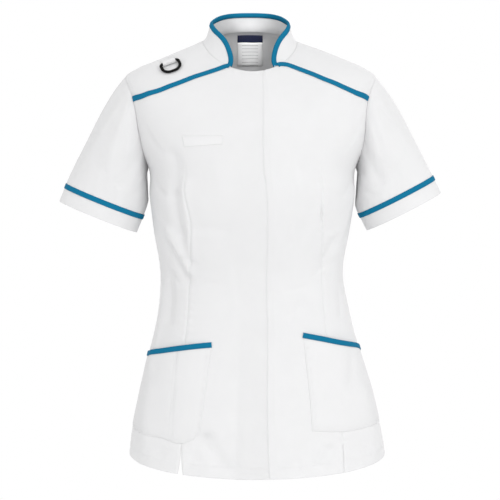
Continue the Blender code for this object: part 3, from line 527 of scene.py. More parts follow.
# %% Weave materials
THREAD = 0.00034          # m from thread to thread
LIGHT_REACH = 0.002       # m that light travels inside the white cloth
WEAVE_BUMP, CLOUD_BUMP = 0.00006, 0.0005                 # m
SLUB_SCALE, CLOUD_SCALE = 900.0, 26.0
CLOUD_TINT, SLUB_TINT, THREAD_TINT = 0.9, 0.25, 0.2      # shares of the two shades' difference
CLOUD_ROUGHNESS = 0.12


def woven(name, colour, shade, roughness=0.82, specular=0.3, sheen=0.08, through=0.0):
    """Plain weave between two shades; some of the light may pass through the cloth."""
    made, tree, shader = new_material(name, roughness, sheen, specular)
    shader.inputs["Subsurface Weight"].default_value = through
    shader.inputs["Subsurface Radius"].default_value = (1.0, 1.0, 1.0)
    shader.inputs["Subsurface Scale"].default_value = LIGHT_REACH
    warp, weft = ((way * (2 * math.pi / THREAD)).math("SINE") for way in grain_map(tree))
    threads = warp * weft * 0.5 + 0.5
    slub = speckle(tree, SLUB_SCALE)
    cloud = speckle(tree, CLOUD_SCALE, 5.0, 0.55)
    tint = (cloud - 0.5) * CLOUD_TINT + (slub - 0.5) * SLUB_TINT + (threads - 0.5) * THREAD_TINT + 0.5
    two_shades(tree, shader, tint, shade, colour)
    feed(tree, shader, "Roughness", cloud * CLOUD_ROUGHNESS + (roughness - CLOUD_ROUGHNESS / 2))
    fine = bump(tree, 0.6, WEAVE_BUMP, threads + slub * 0.7)
    feed(tree, shader, "Normal", bump(tree, 0.7, CLOUD_BUMP, cloud, Normal=fine))
    return made


WHITE = (0.715, 0.715, 0.72, 1), (0.675, 0.675, 0.68, 1)
white_cloth = woven("white_cloth", *WHITE, through=0.25)
double_cloth = woven("double_cloth", *WHITE)     # two layers, which stop the light
teal_binding = woven("teal_binding", (0.004, 0.165, 0.30, 1), (0.003, 0.13, 0.24, 1), specular=0.12,
                     sheen=0.0)
navy_label = woven("navy_label", (0.010, 0.018, 0.075, 1), (0.006, 0.010, 0.045, 1), roughness=0.5)
white_label = woven("white_label", (0.93, 0.93, 0.93, 1), (0.88, 0.88, 0.88, 1), roughness=0.5)
white_thread = woven("white_thread", (0.74, 0.74, 0.745, 1), (0.68, 0.68, 0.685, 1), roughness=0.5)
teal_thread = woven("teal_thread", (0.006, 0.19, 0.34, 1), (0.004, 0.14, 0.26, 1), roughness=0.6,
                    specular=0.15)


def draw_rules(look, centre, half_width, pitch, thickness):
    """Thin grey rules across a label, at places in m on its UV map."""
    tree = look.node_tree
    shader = tree.nodes["Principled BSDF"]
    plain = Wire(tree, shader.inputs["Base Color"].links[0].from_socket)
    across, along = grain_map(tree)
    inside = (across - centre).math("ABSOLUTE").math("LESS_THAN", half_width)
    ruled = (along * (1 / pitch)).math("FRACT").math("LESS_THAN", thickness / pitch)
    two_shades(tree, shader, inside * ruled * 0.6, plain, (0.12, 0.12, 0.13, 1))


draw_rules(white_label, centre=0.021, half_width=0.0135, pitch=0.0062, thickness=0.0008)
print("cloth materials:", sum(m.use_nodes for m in bpy.data.materials))

# %% [markdown]
# ## Stitches
# Topstitching is a row of short raised threads. One stitch is modelled from a small sphere, stretched and
# flattened in edit mode, and each row then takes a copy of it for every stitch along its line.

# %% One stitch, and rows of it
STITCH_LENGTH, STITCH_PITCH, STITCH_WIDTH = 2.3, 3.0, 0.55


def deselect_all():
    if bpy.context.object and bpy.context.object.mode != "OBJECT":
        bpy.ops.object.mode_set(mode="OBJECT")
    bpy.ops.object.select_all(action="DESELECT")


deselect_all()
bpy.ops.mesh.primitive_uv_sphere_add(segments=6, ring_count=4, radius=0.5)
model = bpy.context.object
model.name = "one_stitch"
bpy.ops.object.mode_set(mode="EDIT")
bpy.ops.transform.rotate(value=math.pi / 2, orient_axis="Y", center_override=(0, 0, 0))
bpy.ops.transform.resize(value=(STITCH_LENGTH, STITCH_WIDTH, STITCH_WIDTH * 0.8))
bpy.ops.object.mode_set(mode="OBJECT")
stitch_points = np.array([v.co for v in model.data.vertices])
stitch_faces = [list(f.vertices) for f in model.data.polygons]
bpy.data.objects.remove(model, do_unlink=True)


STITCH_LIFT = 0.12
threads = {}     # rows of stitches, by the name of the piece that they are on


def sampled(rows, run, stations):
    """Points or normals of a line at some lengths along it."""
    return np.stack([np.interp(stations, run, rows[:, k]) for k in range(3)], axis=1)


def stitch_row(lines):
    """Vertices and faces of stitches along lines, each given as points in mm and normals."""
    vertices, faces = [], []
    for points, normals in lines:
        run = np.concatenate([[0], np.cumsum(np.linalg.norm(np.diff(points, axis=0), axis=1))])
        count = max(2, int(run[-1] / STITCH_PITCH))
        stations = (np.arange(count) + 0.5) * run[-1] / count
        centre = sampled(points, run, stations)
        along = unit(sampled(points, run, stations + 0.5) - sampled(points, run, stations - 0.5))
        across = unit(np.cross(unit(sampled(normals, run, stations)), along))
        up = np.cross(along, across)
        for k in range(count):
            axes = np.stack([along[k], across[k], up[k]])
            faces += [[len(vertices) * len(stitch_points) + i for i in face] for face in stitch_faces]
            vertices.append(stitch_points @ axes + centre[k] + up[k] * STITCH_LIFT)
    return np.concatenate(vertices), faces


def sew(name, lines, look=white_thread):
    """Rows of stitches on a piece, as one object."""
    vertices, faces = stitch_row(lines)
    made = new_piece(f"{name}_stitches", vertices, faces, np.zeros(2 * sum(map(len, faces))), look)
    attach(made, "tunic")
    threads[name] = made
    print(made.name, len(faces) // len(stitch_faces), "stitches")


def along_body(places, out=0.0):
    """A stitch line through places on the body form: its points and normals."""
    places = np.asarray(places, float)
    return body_cloth(places, out), normal_at(places)

# %% [markdown]
# ## Fronts
# Each front is one piece from the hem to the yoke, with a long dart from the bust that ends in a vent. The
# grid's columns run along the side seam, the dart and the lap edge, so each of these is a real line of the
# mesh. Where the fronts lap, the left one dips under the right one.

# %% Grids of the fronts
SIDE_SHARES = spaced(118) * 0.5
MIDDLE_SHARES = 0.5 + spaced(112) * 0.5
FRONT_SHARES = np.concatenate([SIDE_SHARES, MIDDLE_SHARES[1:]])
DART_COLUMN = len(SIDE_SHARES) - 1
UNDER_SHARES = np.linspace(0, 1, 9)
SEEN_SHARES = spaced(112, near=(0, 1.0, 2.2))
OUTER_SHARES = spaced(118)
LEFT_DART_COLUMN = len(UNDER_SHARES) + len(SEEN_SHARES) - 1
LEFT_SHARES = np.concatenate([UNDER_SHARES * 2 / 16, 3 / 16 + SEEN_SHARES * 5 / 16,
                              0.5 + OUTER_SHARES[1:] / 2])
VENT_HEIGHT = 45
ABOVE_VENT = HEM_LEVEL - UNDERARM_LEVEL - VENT_HEIGHT
VENT_ROW = len(spaced(VENT_HEIGHT)) - 1
LOWER_SHARES = np.concatenate([spaced(VENT_HEIGHT) * VENT_HEIGHT,
                               VENT_HEIGHT + spaced(ABOVE_VENT)[1:] * ABOVE_VENT])
LOWER_SHARES = LOWER_SHARES / (VENT_HEIGHT + ABOVE_VENT)
UPPER_SHARES = spaced(150, cell=3.0)
TOP_FADE = 2.0     # how late the grid's rows start to follow the top edge
VENT_REACH, VENT_CURL, VENT_CURL_REACH = 26.0, 1.2, 9.0


def panel_places(columns_at, upper):
    """Places of a panel: rings below the underarm, then the grid that fills it up to its top edge."""
    levels = mix(HEM_LEVEL, UNDERARM_LEVEL, LOWER_SHARES)
    columns = np.stack([columns_at(level) for level in levels], axis=1)
    lower = np.stack([columns, np.broadcast_to(levels, columns.shape)], axis=-1)
    return np.concatenate([lower, upper(lower[:, -1])[:, 1:]], axis=1)


def at_shares(shares, *stops):
    """Values at shares from 0 to 1 along evenly spaced stops."""
    return np.interp(shares, np.linspace(0, 1, len(stops)), stops)


def right_front_places():
    """The right front: columns from the side seam to the dart, then to the lap's edge."""
    def columns_at(level):
        return at_shares(FRONT_SHARES, -SIDE_SEAM, -at_level(DARTS["right"], level), at_level(LAP, level))

    def upper(bottom):
        arm = armhole(FRONT_END * UPPER_SHARES, -1)
        edge = edge_line(LAP, mix(UNDERARM_LEVEL, NECK_LEVEL, UPPER_SHARES))
        seam = path(YOKE_SEAMS["right"])(1 - 2 * SIDE_SHARES) * np.array((-1, 1))
        neck = on_neck(at_shares(2 * MIDDLE_SHARES[1:] - 1, -YOKE_SEAMS["right"][0][0], LAP[0, 1]))
        return filled(arm, edge, bottom, np.concatenate([seam, neck]), FRONT_SHARES, UPPER_SHARES, TOP_FADE)

    return panel_places(columns_at, upper)


def left_front_places():
    """The left front: columns under the lap, then from the lap's edge to the dart, then to the side seam."""
    low, high = LAP_STEP_DEGREES

    def angles(hidden, lap, dart, side):
        return np.concatenate([mix(hidden, lap + low, UNDER_SHARES), mix(lap + high, dart, SEEN_SHARES),
                               at_shares(OUTER_SHARES, dart, side)[1:]])

    def columns_at(level):
        return angles(at_level(UNDERLAP, level), at_level(LAP, level), at_level(DARTS["left"], level),
                      SIDE_SEAM)

    def upper(bottom):
        arm = armhole(FRONT_END * UPPER_SHARES, 1)
        edge = edge_line(UNDERLAP, mix(UNDERARM_LEVEL, NECK_LEVEL, UPPER_SHARES))
        neck = angles(UNDERLAP[0, 1], LAP[0, 1], YOKE_SEAMS["left"][0][0], SIDE_SEAM)[:LEFT_DART_COLUMN]
        top = np.concatenate([on_neck(neck), path(YOKE_SEAMS["left"])(OUTER_SHARES)])
        places = filled(edge, arm, bottom, top, LEFT_SHARES, UPPER_SHARES, TOP_FADE)
        lap, hidden = at_level(LAP, places[..., 1]), at_level(UNDERLAP, places[..., 1])
        dart = places[LEFT_DART_COLUMN, :, 0]
        under, seen = slice(len(UNDER_SHARES)), slice(len(UNDER_SHARES), LEFT_DART_COLUMN + 1)
        places[under, :, 0] = mix(hidden[under], lap[under] + low, UNDER_SHARES[:, None])
        places[seen, :, 0] = mix(lap[seen] + high, dart, SEEN_SHARES[:, None])
        return places

    return panel_places(columns_at, upper)


def lap_dip(places):
    """How far the left front drops under the right front."""
    low, high = LAP_STEP_DEGREES[0], LAP_STEP_DEGREES[1] + LAP_RISE_DEGREES
    past = places[..., 0] - at_level(LAP, places[..., 1])
    f = np.clip((high - past) / (high - low), 0, 1)
    return -LAP_DIP * f * f * (3 - 2 * f)


def open_vent(points, normals, column, opening):
    """Draws the cloth apart along a vent, and returns the grid and the column on the vent's right side."""
    across = running_length(points, 0)
    rise = running_length(points, 1)[column]
    share = np.clip(1 - rise / rise[VENT_ROW], 0, 1)
    away = np.abs(across - across[column])
    way = unit(points[column + 1] - points[column - 1])
    pull = opening / 2 * share ** 2 * np.exp(-(away / VENT_REACH) ** 2)
    curl = VENT_CURL * share * np.exp(-(away / VENT_CURL_REACH) ** 2)
    side = np.where(np.arange(len(points)) <= column, -1, 1)[:, None]
    moved = points + (way[None] * (pull * side)[..., None] + normals * curl[..., None])
    twin = points[column] + way * pull[column][:, None] + normals[column] * curl[column][:, None]
    return moved, twin


print("fronts' grids:", len(FRONT_SHARES), "and", len(LEFT_SHARES), "columns")

# %% [markdown]
# The darts are sewn tight below the bust, so the cloth is pinched there. A stud hidden in the placket pushes
# a small bump into the right front.

# %% Sew the fronts
DART_ROLL, DART_PUCKER = 1.1, 1.1
DART_FADE_LEVEL, DART_FADE = 196, 30     # the dart starts here and is full this far below
PINCHES = {"right": (314, 34, 2.6, 1.0), "left": (274, 12, 1.9, 2.4)}   # level, reach, half width, depth
STUD_BUMP = (5.6, 221.0, 5.5, 0.9)       # angle, level, radius, height


def sew_front(name, places, seams, column, phase, lift):
    """A front's sheet and its points, with rolled seams, a tight dart and an open vent."""
    flat, level = form_at(places), places[..., 1]
    heights = edge_heights(flat, seams, phase) + lift
    dart = np.abs(running_length(flat, 0) - running_length(flat, 0)[column:column + 1])
    fade = np.clip((level - DART_FADE_LEVEL) / DART_FADE, 0, 1)
    heights += fade * seam_height(dart, running_length(flat, 1), phase + 4, DART_ROLL, DART_PUCKER)
    pinch_level, reach, half_width, depth = PINCHES[name]
    heights -= depth * np.exp(-((level - pinch_level) / reach) ** 2 - (dart / half_width) ** 2)
    points = body_cloth(places, heights)
    points, twin = open_vent(points, normal_at(places), column, VENT_OPENING[name])
    made = sheet_piece(f"front_{name}_cloth", points, white_cloth, slit=(column, VENT_ROW), twin=twin)
    return made, points


def stud_height(places):
    angle, level, radius, height = STUD_BUMP
    away = np.hypot((places[..., 0] - angle) * GIRTH_PER_DEGREE, places[..., 1] - level)
    return height * np.exp(-(away / radius) ** 2)


right_places, left_places = right_front_places(), left_front_places()
fronts = {
    "right": sew_front("right", right_places, ("left", "top"), DART_COLUMN, 0.4, stud_height(right_places)),
    "left": sew_front("left", left_places, ("right", "top"), LEFT_DART_COLUMN, 1.9, lap_dip(left_places)),
}
print("fronts:", [len(piece.data.polygons) for piece, _ in fronts.values()], "cells")

# %% [markdown]
# ## Back
# The back is one panel between the side seams. It meets the yokes just behind the shoulders, and two long
# waist darts shape it, as on any such tunic; the photograph doesn't show this side, so it is kept plain.

# %% Sew the back
BACK_DARTS = {"left": ((148, 330), (147, 375), (146, 470)), "right": ((212, 330), (213, 375), (214, 470))}
BACK_DART_ROLL, BACK_DART_PUCKER = 0.8, 1.4
BACK_SHARES = spaced(405, cell=3.4)
BACK_CORNERS = (142, 218)     # angles below the two yoke seams' ends at the neck
THIRDS = (1 / 3, 2 / 3)       # of the top edge: a yoke seam, the neck, the other yoke seam


def back_places():
    def columns_at(level):
        return np.interp(BACK_SHARES, (0, *THIRDS, 1), (SIDE_SEAM, *BACK_CORNERS, 360 - SIDE_SEAM))

    def upper(bottom):
        turns = mix(360, YOKE_END, UPPER_SHARES)
        left, right = armhole(turns, 1), armhole(turns, -1) + np.array((360, 0))
        seam = path((left[-1], (BACK_YOKE_ANGLE, NECK_LEVEL)))
        first, last = BACK_SHARES <= THIRDS[0], BACK_SHARES >= THIRDS[1]
        top = on_neck(np.interp(BACK_SHARES, THIRDS, (BACK_YOKE_ANGLE, 360 - BACK_YOKE_ANGLE)))
        top[first] = seam(BACK_SHARES[first] * 3)
        top[last] = seam((1 - BACK_SHARES[last]) * 3) * np.array((-1, 1)) + np.array((360, 0))
        return filled(left, right, bottom, top, BACK_SHARES, UPPER_SHARES, TOP_FADE)

    return panel_places(columns_at, upper)


def dart_heights(places):
    """Two narrow sewn darts of the back, faded out at their points."""
    level = places[..., 1]
    total = np.zeros(level.shape)
    for rows in BACK_DARTS.values():
        line = np.array(rows, float)
        centre = smooth(level, line[:, 1], line[:, 0])
        reach = (level - line[0, 1]) / (line[-1, 1] - line[0, 1])
        fade = np.clip(np.sin(np.pi * np.clip(reach, 0, 1)), 0, 1) ** 0.5
        away = np.abs(places[..., 0] - centre) * GIRTH_PER_DEGREE
        total += fade * seam_height(away, level, 2.0, BACK_DART_ROLL, BACK_DART_PUCKER)
    return total


back_grid = back_places()
back_heights = edge_heights(form_at(back_grid), ("left", "right", "top"), 3.1) + dart_heights(back_grid)
back_points = body_cloth(back_grid, back_heights)
back = sheet_piece("back_cloth", back_points, white_cloth)
print("back:", len(back.data.polygons), "cells")

# %% [markdown]
# ## Yokes and their bands
# The yokes carry the tunic on the shoulders. A teal band covers each front yoke seam. It is a narrow tape
# with both edges turned under, so it is made as a strip along the seam that is highest in the middle.

# %% Yokes, bands on their seams
YOKE_SHARES = spaced(128)
YOKE_DEPTH_SHARES = spaced(92)
YOKE_BAND_HALF_WIDTH = 4.3
BAND_STARTS = {"right": (28.2, 52), "left": (31.2, 52)}   # each band reaches the collar's binding
BAND_WALL, BAND_LIFT, BAND_CROWN = 0.4, 0.35, 0.45


def crowned(half_width, lift, count=7):
    """Offsets across a band and its heights, with both edges rolled down to the cloth."""
    t = np.linspace(-1, 1, count)
    return half_width * np.sin(t * math.pi / 2), lift + BAND_CROWN * np.sqrt(np.clip(1 - t ** 4, 0, 1))


def tape(name, line, across, normals, section, closed=False):
    """A teal tape along a line: its section gives steps across the line and heights above it."""
    rows = [line + across * step + normals * height for step, height in section]
    points = np.stack(rows, axis=1)
    if closed:
        points[-1] = points[0]
    return sheet_piece(f"{name}_tape", points, teal_binding, wall=BAND_WALL, closed=closed, outward=True)


def yoke_places(name, side):
    seam = path(YOKE_SEAMS[name])(YOKE_SHARES)
    arm = armhole(mix(FRONT_END, YOKE_END, YOKE_DEPTH_SHARES), 1)
    neck = on_neck(mix(seam[0, 0], BACK_YOKE_ANGLE, YOKE_DEPTH_SHARES))
    back_seam = path((neck[-1], arm[-1]))(YOKE_SHARES)
    places = filled(neck, arm, seam, back_seam, YOKE_SHARES, YOKE_DEPTH_SHARES) * np.array((side, 1))
    return places if side > 0 else places[::-1]


yokes, yoke_bands = {}, {}
for name, side in SIDES.items():
    places = yoke_places(name, side)
    heights = edge_heights(form_at(places), ("left", "right", "bottom", "top"), 5.0 + side)
    points = body_cloth(places, heights)
    yokes[name] = (sheet_piece(f"yoke_{name}_cloth", points, white_cloth), points)
    seam = path((BAND_STARTS[name], *YOKE_SEAMS[name]))(np.linspace(0, 0.99, 110)) * np.array((side, 1))
    seam = seam[::side]
    line, normals = along_body(seam)
    section = list(zip(*crowned(YOKE_BAND_HALF_WIDTH, BAND_LIFT)))
    yoke_bands[name] = tape(f"yoke_band_{name}", line, beside(line, normals), normals, section)
print("yokes:", [len(piece.data.polygons) for piece, _ in yokes.values()], "cells")

# %% [markdown]
# ## Sleeves, cuffs and their bands
# A sleeve is a tube that leaves the armhole in the direction of the shoulder and turns down to the cuff.
# Between the two rings each point follows a smooth curve. The cuff is the turned-up hem below the band.

# %% Sleeves
# X and Z of the cuff seam's middle, and its tilt in degrees
SLEEVES = {"right": (-230, -255, 22.0), "left": (236, -247.5, 27.0)}
CUFF_HALF_WIDTH, CUFF_HALF_DEPTH, CUFF_DEPTH, CUFF_WALL = 66.5, 52.0, 26.5, 1.5
CUFF_BAND_HALF_WIDTH = 3.9
WAVES_FADE, SEWN_FADE = 8, 6     # one over the shares of the length where waves and the seam's shape fade
SLEEVE_PULL = 118.0
SLEEVE_CLEARANCE, SLEEVE_CLEARANCE_SLOPE = 4.0, 0.3
CLEAR_FROM, CLEAR_FADE = 108, 30
SLEEVE_GIRTH_PER_DEGREE, SLEEVE_SPAN = 1.05, 170.0
# Columns: turn, outward, forward, down
SLEEVE_START = np.array((
    (0, 0.06, 0.0, 1.0), (45, 0.22, 0.20, 1.0), (90, 0.36, 0.42, 0.88), (135, 0.56, 0.30, 0.80),
    (180, 0.70, 0.0, 0.74), (225, 0.56, -0.30, 0.80), (270, 0.36, -0.42, 0.88), (315, 0.22, -0.20, 1.0),
    (360, 0.06, 0.0, 1.0),
), float)
# Columns: turn and share of the length at one end, the same at the other, half width, height
SLEEVE_FOLDS = np.array((
    (150, 0.05, 160, 0.85, 10, -2.6), (120, 0.05, 105, 0.6, 10, 2.2), (60, 0.05, 75, 0.7, 9, -2.2),
    (205, 0.1, 215, 0.8, 11, -2.2), (255, 0.05, 262, 0.7, 10, 2.2), (300, 0.1, 290, 0.7, 9, -2.0),
), float)
SLEEVE_CREASES = np.array((
    (172, 0.02, 186, 0.62, 5, 6, 1.0), (135, 0.04, 140, 0.5, 4, 6, -1.0), (96, 0.03, 84, 0.45, -4, 6, 1.0),
    (72, 0.2, 96, 0.62, 4, 6, -0.9), (30, 0.1, 52, 0.55, 4, 5, 0.9), (40, 0.55, 70, 0.92, 3, 5, -0.7),
    (232, 0.05, 238, 0.5, 4, 6, 1.0), (278, 0.05, 270, 0.6, -4, 6, -1.0), (318, 0.15, 300, 0.6, 4, 5, 0.9),
    (200, 0.45, 192, 0.95, 3, 7, -0.7), (150, 0.5, 168, 0.96, -3, 7, 0.7), (110, 0.55, 100, 0.95, 3, 6, -0.7),
), float)


def cuff_seam(name, turn):
    """Points on the cuff seam, the sleeve's axis there and the directions away from it."""
    x, z, tilt = SLEEVES[name]
    side, tilt = SIDES[name], math.radians(tilt)
    outward = np.array((side * math.cos(tilt), 0, math.sin(tilt)))
    axis = np.array((side * math.sin(tilt), 0, -math.cos(tilt)))
    a = np.radians(turn)[..., None]
    ring = -outward * CUFF_HALF_WIDTH * np.cos(a) - np.array((0, 1.0, 0)) * CUFF_HALF_DEPTH * np.sin(a)
    return np.array((x, 0, z)) + ring, axis, unit(ring)


def clear_of_body(points, room):
    """The points pushed out sideways where they come nearer to the body's side than some room."""
    level = np.interp(-points[..., 2], RINGS[:, SIDE_DROP], RINGS[:, LEVEL])
    width, depth, square, centre = (np.interp(level, RINGS[:, LEVEL], RINGS[:, k])
                                    for k in (HALF_WIDTH, FRONT_DEPTH, SQUARENESS, CENTRE))
    dx, dy = points[..., 0] - centre, points[..., 1]
    reach = ((np.abs(dx) / width) ** square + (np.abs(dy) / depth) ** square) ** (1 / square)
    grow = np.maximum(1, (1 + room / width) / reach)
    below = np.clip((-points[..., 2] - CLEAR_FROM) / CLEAR_FADE, 0, 1)
    moved = points.copy()
    moved[..., 0] = centre + dx * mix(1, grow, below)
    return moved


def sleeve_form(name, turn, along):
    start = form_at(armhole(turn, SIDES[name]))
    way = unit(smooth(turn, SLEEVE_START[:, 0], SLEEVE_START[:, 1:])) * np.array((SIDES[name], -1, -1))
    end, axis, _ = cuff_seam(name, turn)
    f = along[..., None]
    points = ((1 + 2 * f) * (1 - f) ** 2 * start + f * (1 - f) ** 2 * SLEEVE_PULL * way
              + f ** 2 * (3 - 2 * f) * end - f ** 2 * (1 - f) * SLEEVE_PULL * axis)
    room = np.minimum(SLEEVE_CLEARANCE, SLEEVE_CLEARANCE_SLOPE * np.linalg.norm(points - start, axis=-1))
    return clear_of_body(points, room)


def sleeve_normal(name, turn, along):
    around = sleeve_form(name, (turn + 1) % 360, along) - sleeve_form(name, (turn - 1) % 360, along)
    below, above = np.clip(along + 0.01, 0, 1), np.clip(along - 0.01, 0, 1)
    down = sleeve_form(name, turn, below) - sleeve_form(name, turn, above)
    return unit(np.cross(around, down)) * -SIDES[name]


def sewn_offset(places):
    """How far the cloth on a seam lies from the form."""
    return body_cloth(places, -SEAM_ROLL) - form_at(places)


def sleeve_cloth(name, turn, along, out):
    """Points of the sleeve with its folds, at a turn around it and a share of its length."""
    scale = (SLEEVE_GIRTH_PER_DEGREE, SLEEVE_SPAN)
    folds = fold_height(turn, along, SLEEVE_FOLDS, scale) + crease_height(turn, along, SLEEVE_CREASES, scale)
    form = sleeve_form(name, turn, along)
    waves = crumple(form) * np.clip(along * WAVES_FADE, 0, 1) * np.clip((1 - along) * WAVES_FADE, 0, 1)
    lift = folds * np.sin(np.pi * np.clip(along, 0, 1)) ** 0.5 + waves + out
    fade = np.clip(1 - along * SEWN_FADE, 0, 1) ** 2
    sewn = sewn_offset(armhole(turn, SIDES[name])) * fade[..., None]
    return form + sleeve_normal(name, turn, along) * lift[..., None] + sewn


SLEEVE_ROWS = 1 - spaced(165)
CUFF_ROWS = CUFF_DEPTH * (1 - spaced(CUFF_DEPTH, near=(0, 0.9, 2.0)))
sleeves, cuffs, cuff_bands = {}, {}, {}
for name, side in SIDES.items():
    turns = np.linspace(0, 360, 145)[::side]
    turn, along = np.meshgrid(turns % 360, SLEEVE_ROWS, indexing="ij")
    form = sleeve_form(name, turn, along)
    heights = edge_heights(form, ("bottom",), 2.2 + side) + edge_heights(form, ("top",), 1.3, roll=0)
    points = sleeve_cloth(name, turn, along, heights)
    points[-1] = points[0]
    sleeves[name] = (sheet_piece(f"sleeve_{name}_cloth", points, white_cloth, closed=True), points)
    rim, axis, outward = cuff_seam(name, turns)
    points = np.stack([rim + axis * past for past in CUFF_ROWS], axis=1)
    lift = edge_heights(points, ("top",), 1.1) + crumple(points) * 0.5
    points = points + outward[:, None] * lift[..., None]
    points[-1] = points[0]
    cuff = sheet_piece(f"cuff_{name}_cloth", points, white_cloth, wall=CUFF_WALL, closed=True)
    cuffs[name] = (cuff, points)
    section = list(zip(*crowned(CUFF_BAND_HALF_WIDTH, BAND_LIFT)))
    cuff_bands[name] = tape(f"cuff_band_{name}", rim, -axis, outward, section, closed=True)
print("sleeves:", [len(piece.data.polygons) for piece, _ in sleeves.values()], "cells")

# %% [markdown]
# ## Stand collar and its binding
# The collar stands on the neck seam, leans in towards the neck and is open in front. Its upper and front
# edges are bound with teal tape, folded over the edge, so the binding's section is a narrow hook.

# %% Collar
# Columns: angle where a line starts on the neck seam, angle where it ends, height of the edge there
COLLAR = np.array((
    (28.5, 27, 0.6), (31, 27.5, 11), (35, 30.5, 20.5), (41, 36, 29), (48, 44, 34.5), (57, 54.5, 35.5),
    (72, 71, 33), (90, 90, 31), (108, 108, 31), (126, 126, 31.5), (144, 144, 30.5), (162, 162, 28.8),
    (180, 180, 28),
), float)
COLLAR_FLARE, COLLAR_FLARE_HEIGHT, COLLAR_LEAN, COLLAR_WALL = 5.0, 5.0, 0.26, 1.4
BINDING_WIDTH, BINDING_CLEARANCE, BINDING_OUT = 6.4, 0.3, 0.55


def collar_point(angle, height):
    base = body_form(angle, np.full(np.shape(angle), float(NECK_LEVEL)))
    inward = np.stack([-(base[..., 0] - RINGS[0, CENTRE]), -base[..., 1], np.zeros(np.shape(angle))], -1)
    lean = COLLAR_FLARE * (1 - np.exp(-height / COLLAR_FLARE_HEIGHT)) + COLLAR_LEAN * height
    return base + unit(inward) * lean[..., None] + np.array((0, 0, 1.0)) * height[..., None]


def collar_lines(count):
    """Base angle, edge angle and edge height along the collar, from its left end round the back."""
    rows = np.concatenate([COLLAR, COLLAR[-2::-1] * (-1, -1, 1) + (360, 360, 0)])
    return np.moveaxis(smooth(np.linspace(0, 1, count), np.linspace(0, 1, len(rows)), rows), -1, 0)


def collar_surface(shares, count=150):
    base, edge, height = collar_lines(count)
    f = np.asarray(shares)[None, :]
    angle, rise = mix(base[:, None], edge[:, None], f), height[:, None] * f
    points = collar_point(angle, rise)
    around = collar_point(angle + 0.5, rise) - collar_point(angle - 0.5, rise)
    up = collar_point(angle, rise + 0.3) - collar_point(angle, rise - 0.3)
    return points, unit(np.cross(around, up))


collar_shares = spaced(36, cell=2.6, near=(0, 0.9, 2.0))
collar_points, collar_normals = collar_surface(collar_shares)
lift = edge_heights(collar_points, ("bottom",), 0.7, roll=0) + crumple(collar_points) * 0.6 * collar_shares
sewn = sewn_offset(on_neck(collar_lines(len(collar_points))[0]))
fade = np.clip(1 - 4 * collar_shares, 0, 1) ** 2
collar_points = collar_points + collar_normals * lift[..., None] + sewn[:, None] * fade[None, :, None]
collar = sheet_piece("collar_cloth", collar_points, white_cloth, wall=COLLAR_WALL)

rim, rim_outward = (grid[:, 0] for grid in collar_surface(np.array((1.0,)), 220))
rim_down = -beside(rim, rim_outward)
INNER = -(COLLAR_WALL + 2 * BINDING_CLEARANCE)
# Steps down and out from the rim: up the outside, over the rim and down the inside
hook = [(BINDING_WIDTH, 0.1), (BINDING_WIDTH - 0.6, 0.45), (BINDING_WIDTH * 0.6, BINDING_OUT),
        (BINDING_WIDTH * 0.25, 0.5), (0.3, 0.35), (-0.45, 0.0), (-0.6, INNER / 2), (-0.45, INNER),
        (0.5, INNER - 0.2), (BINDING_WIDTH * 0.5, INNER - 0.3), (BINDING_WIDTH, INNER)]
collar_binding = tape("collar_binding", rim, rim_down, rim_outward, hook)
print("collar:", len(collar.data.polygons), "cells, binding", len(collar_binding.data.polygons))

# %% [markdown]
# ## Pockets
# Patch pockets lie on the fronts, turned in and topstitched on three sides, with a teal band on the mouth.
# Each is made from the front's own surface moved out, a little fuller in the middle, as an empty pocket is.

# %% Hip pockets and the chest pocket's welt
POCKETS = {
    "right": {"top": ((-88, 502.5), (-77, 500.5), (-53.6, 488.3), (-42, 481.3), (-32, 475.8), (-23.5, 472)),
              "bottom": ((-88, 628), (-70, 628), (-58.9, 628.5), (-44.4, 627), (-34, 630.5),
                         (-28, 621), (-25.5, 608))},
    "left": {"top": ((88, 494.5), (77, 488.5), (51.5, 475.3), (37.4, 464.8), (27.5, 457.8)),
             "bottom": ((88, 616), (70, 616.5), (56.4, 616), (40.3, 614.5), (24.9, 608))},
}
POCKET_U, POCKET_V = spaced(165), spaced(130)
POCKET_FULLNESS, POCKET_LIFT, POCKET_WALL, POCKET_EDGE_DROP = 3.0, 0.6, 0.4, 0.36
POCKET_FULL_FROM, POCKET_EDGE_REACH = 14, 2.2                        # from the sewn edge
POCKET_PUCKER_PITCH, POCKET_PUCKER_START, POCKET_PUCKER_END = 2.3, 4, 8
POCKET_BAND_WIDTH, POCKET_BAND_LIFT = 7.8, 0.35
# Steps up and out from the mouth's edge: up the outside, over the mouth and down the inside
POCKET_HOOK = [(-POCKET_BAND_WIDTH + 1.0, 0.0), (-POCKET_BAND_WIDTH + 1.5, 0.35),
               (-POCKET_BAND_WIDTH / 2, 0.5), (-0.5, 0.4), (0.7, 0.15), (1.0, -0.5), (0.7, -1.35),
               (-3.0, -1.45)]
DIVISION = (0.732, -0.044, 0.008, 1.6)   # share across, its slant, half width and depth
DIVISION_SHARE = 0.7                     # of the pocket's own height, where it is thin
CHEST_POCKET = {"outer": ((-32.8, 174.4), (-32.2, 161)), "inner": ((-13.2, 166.8), (-12.5, 154.3))}


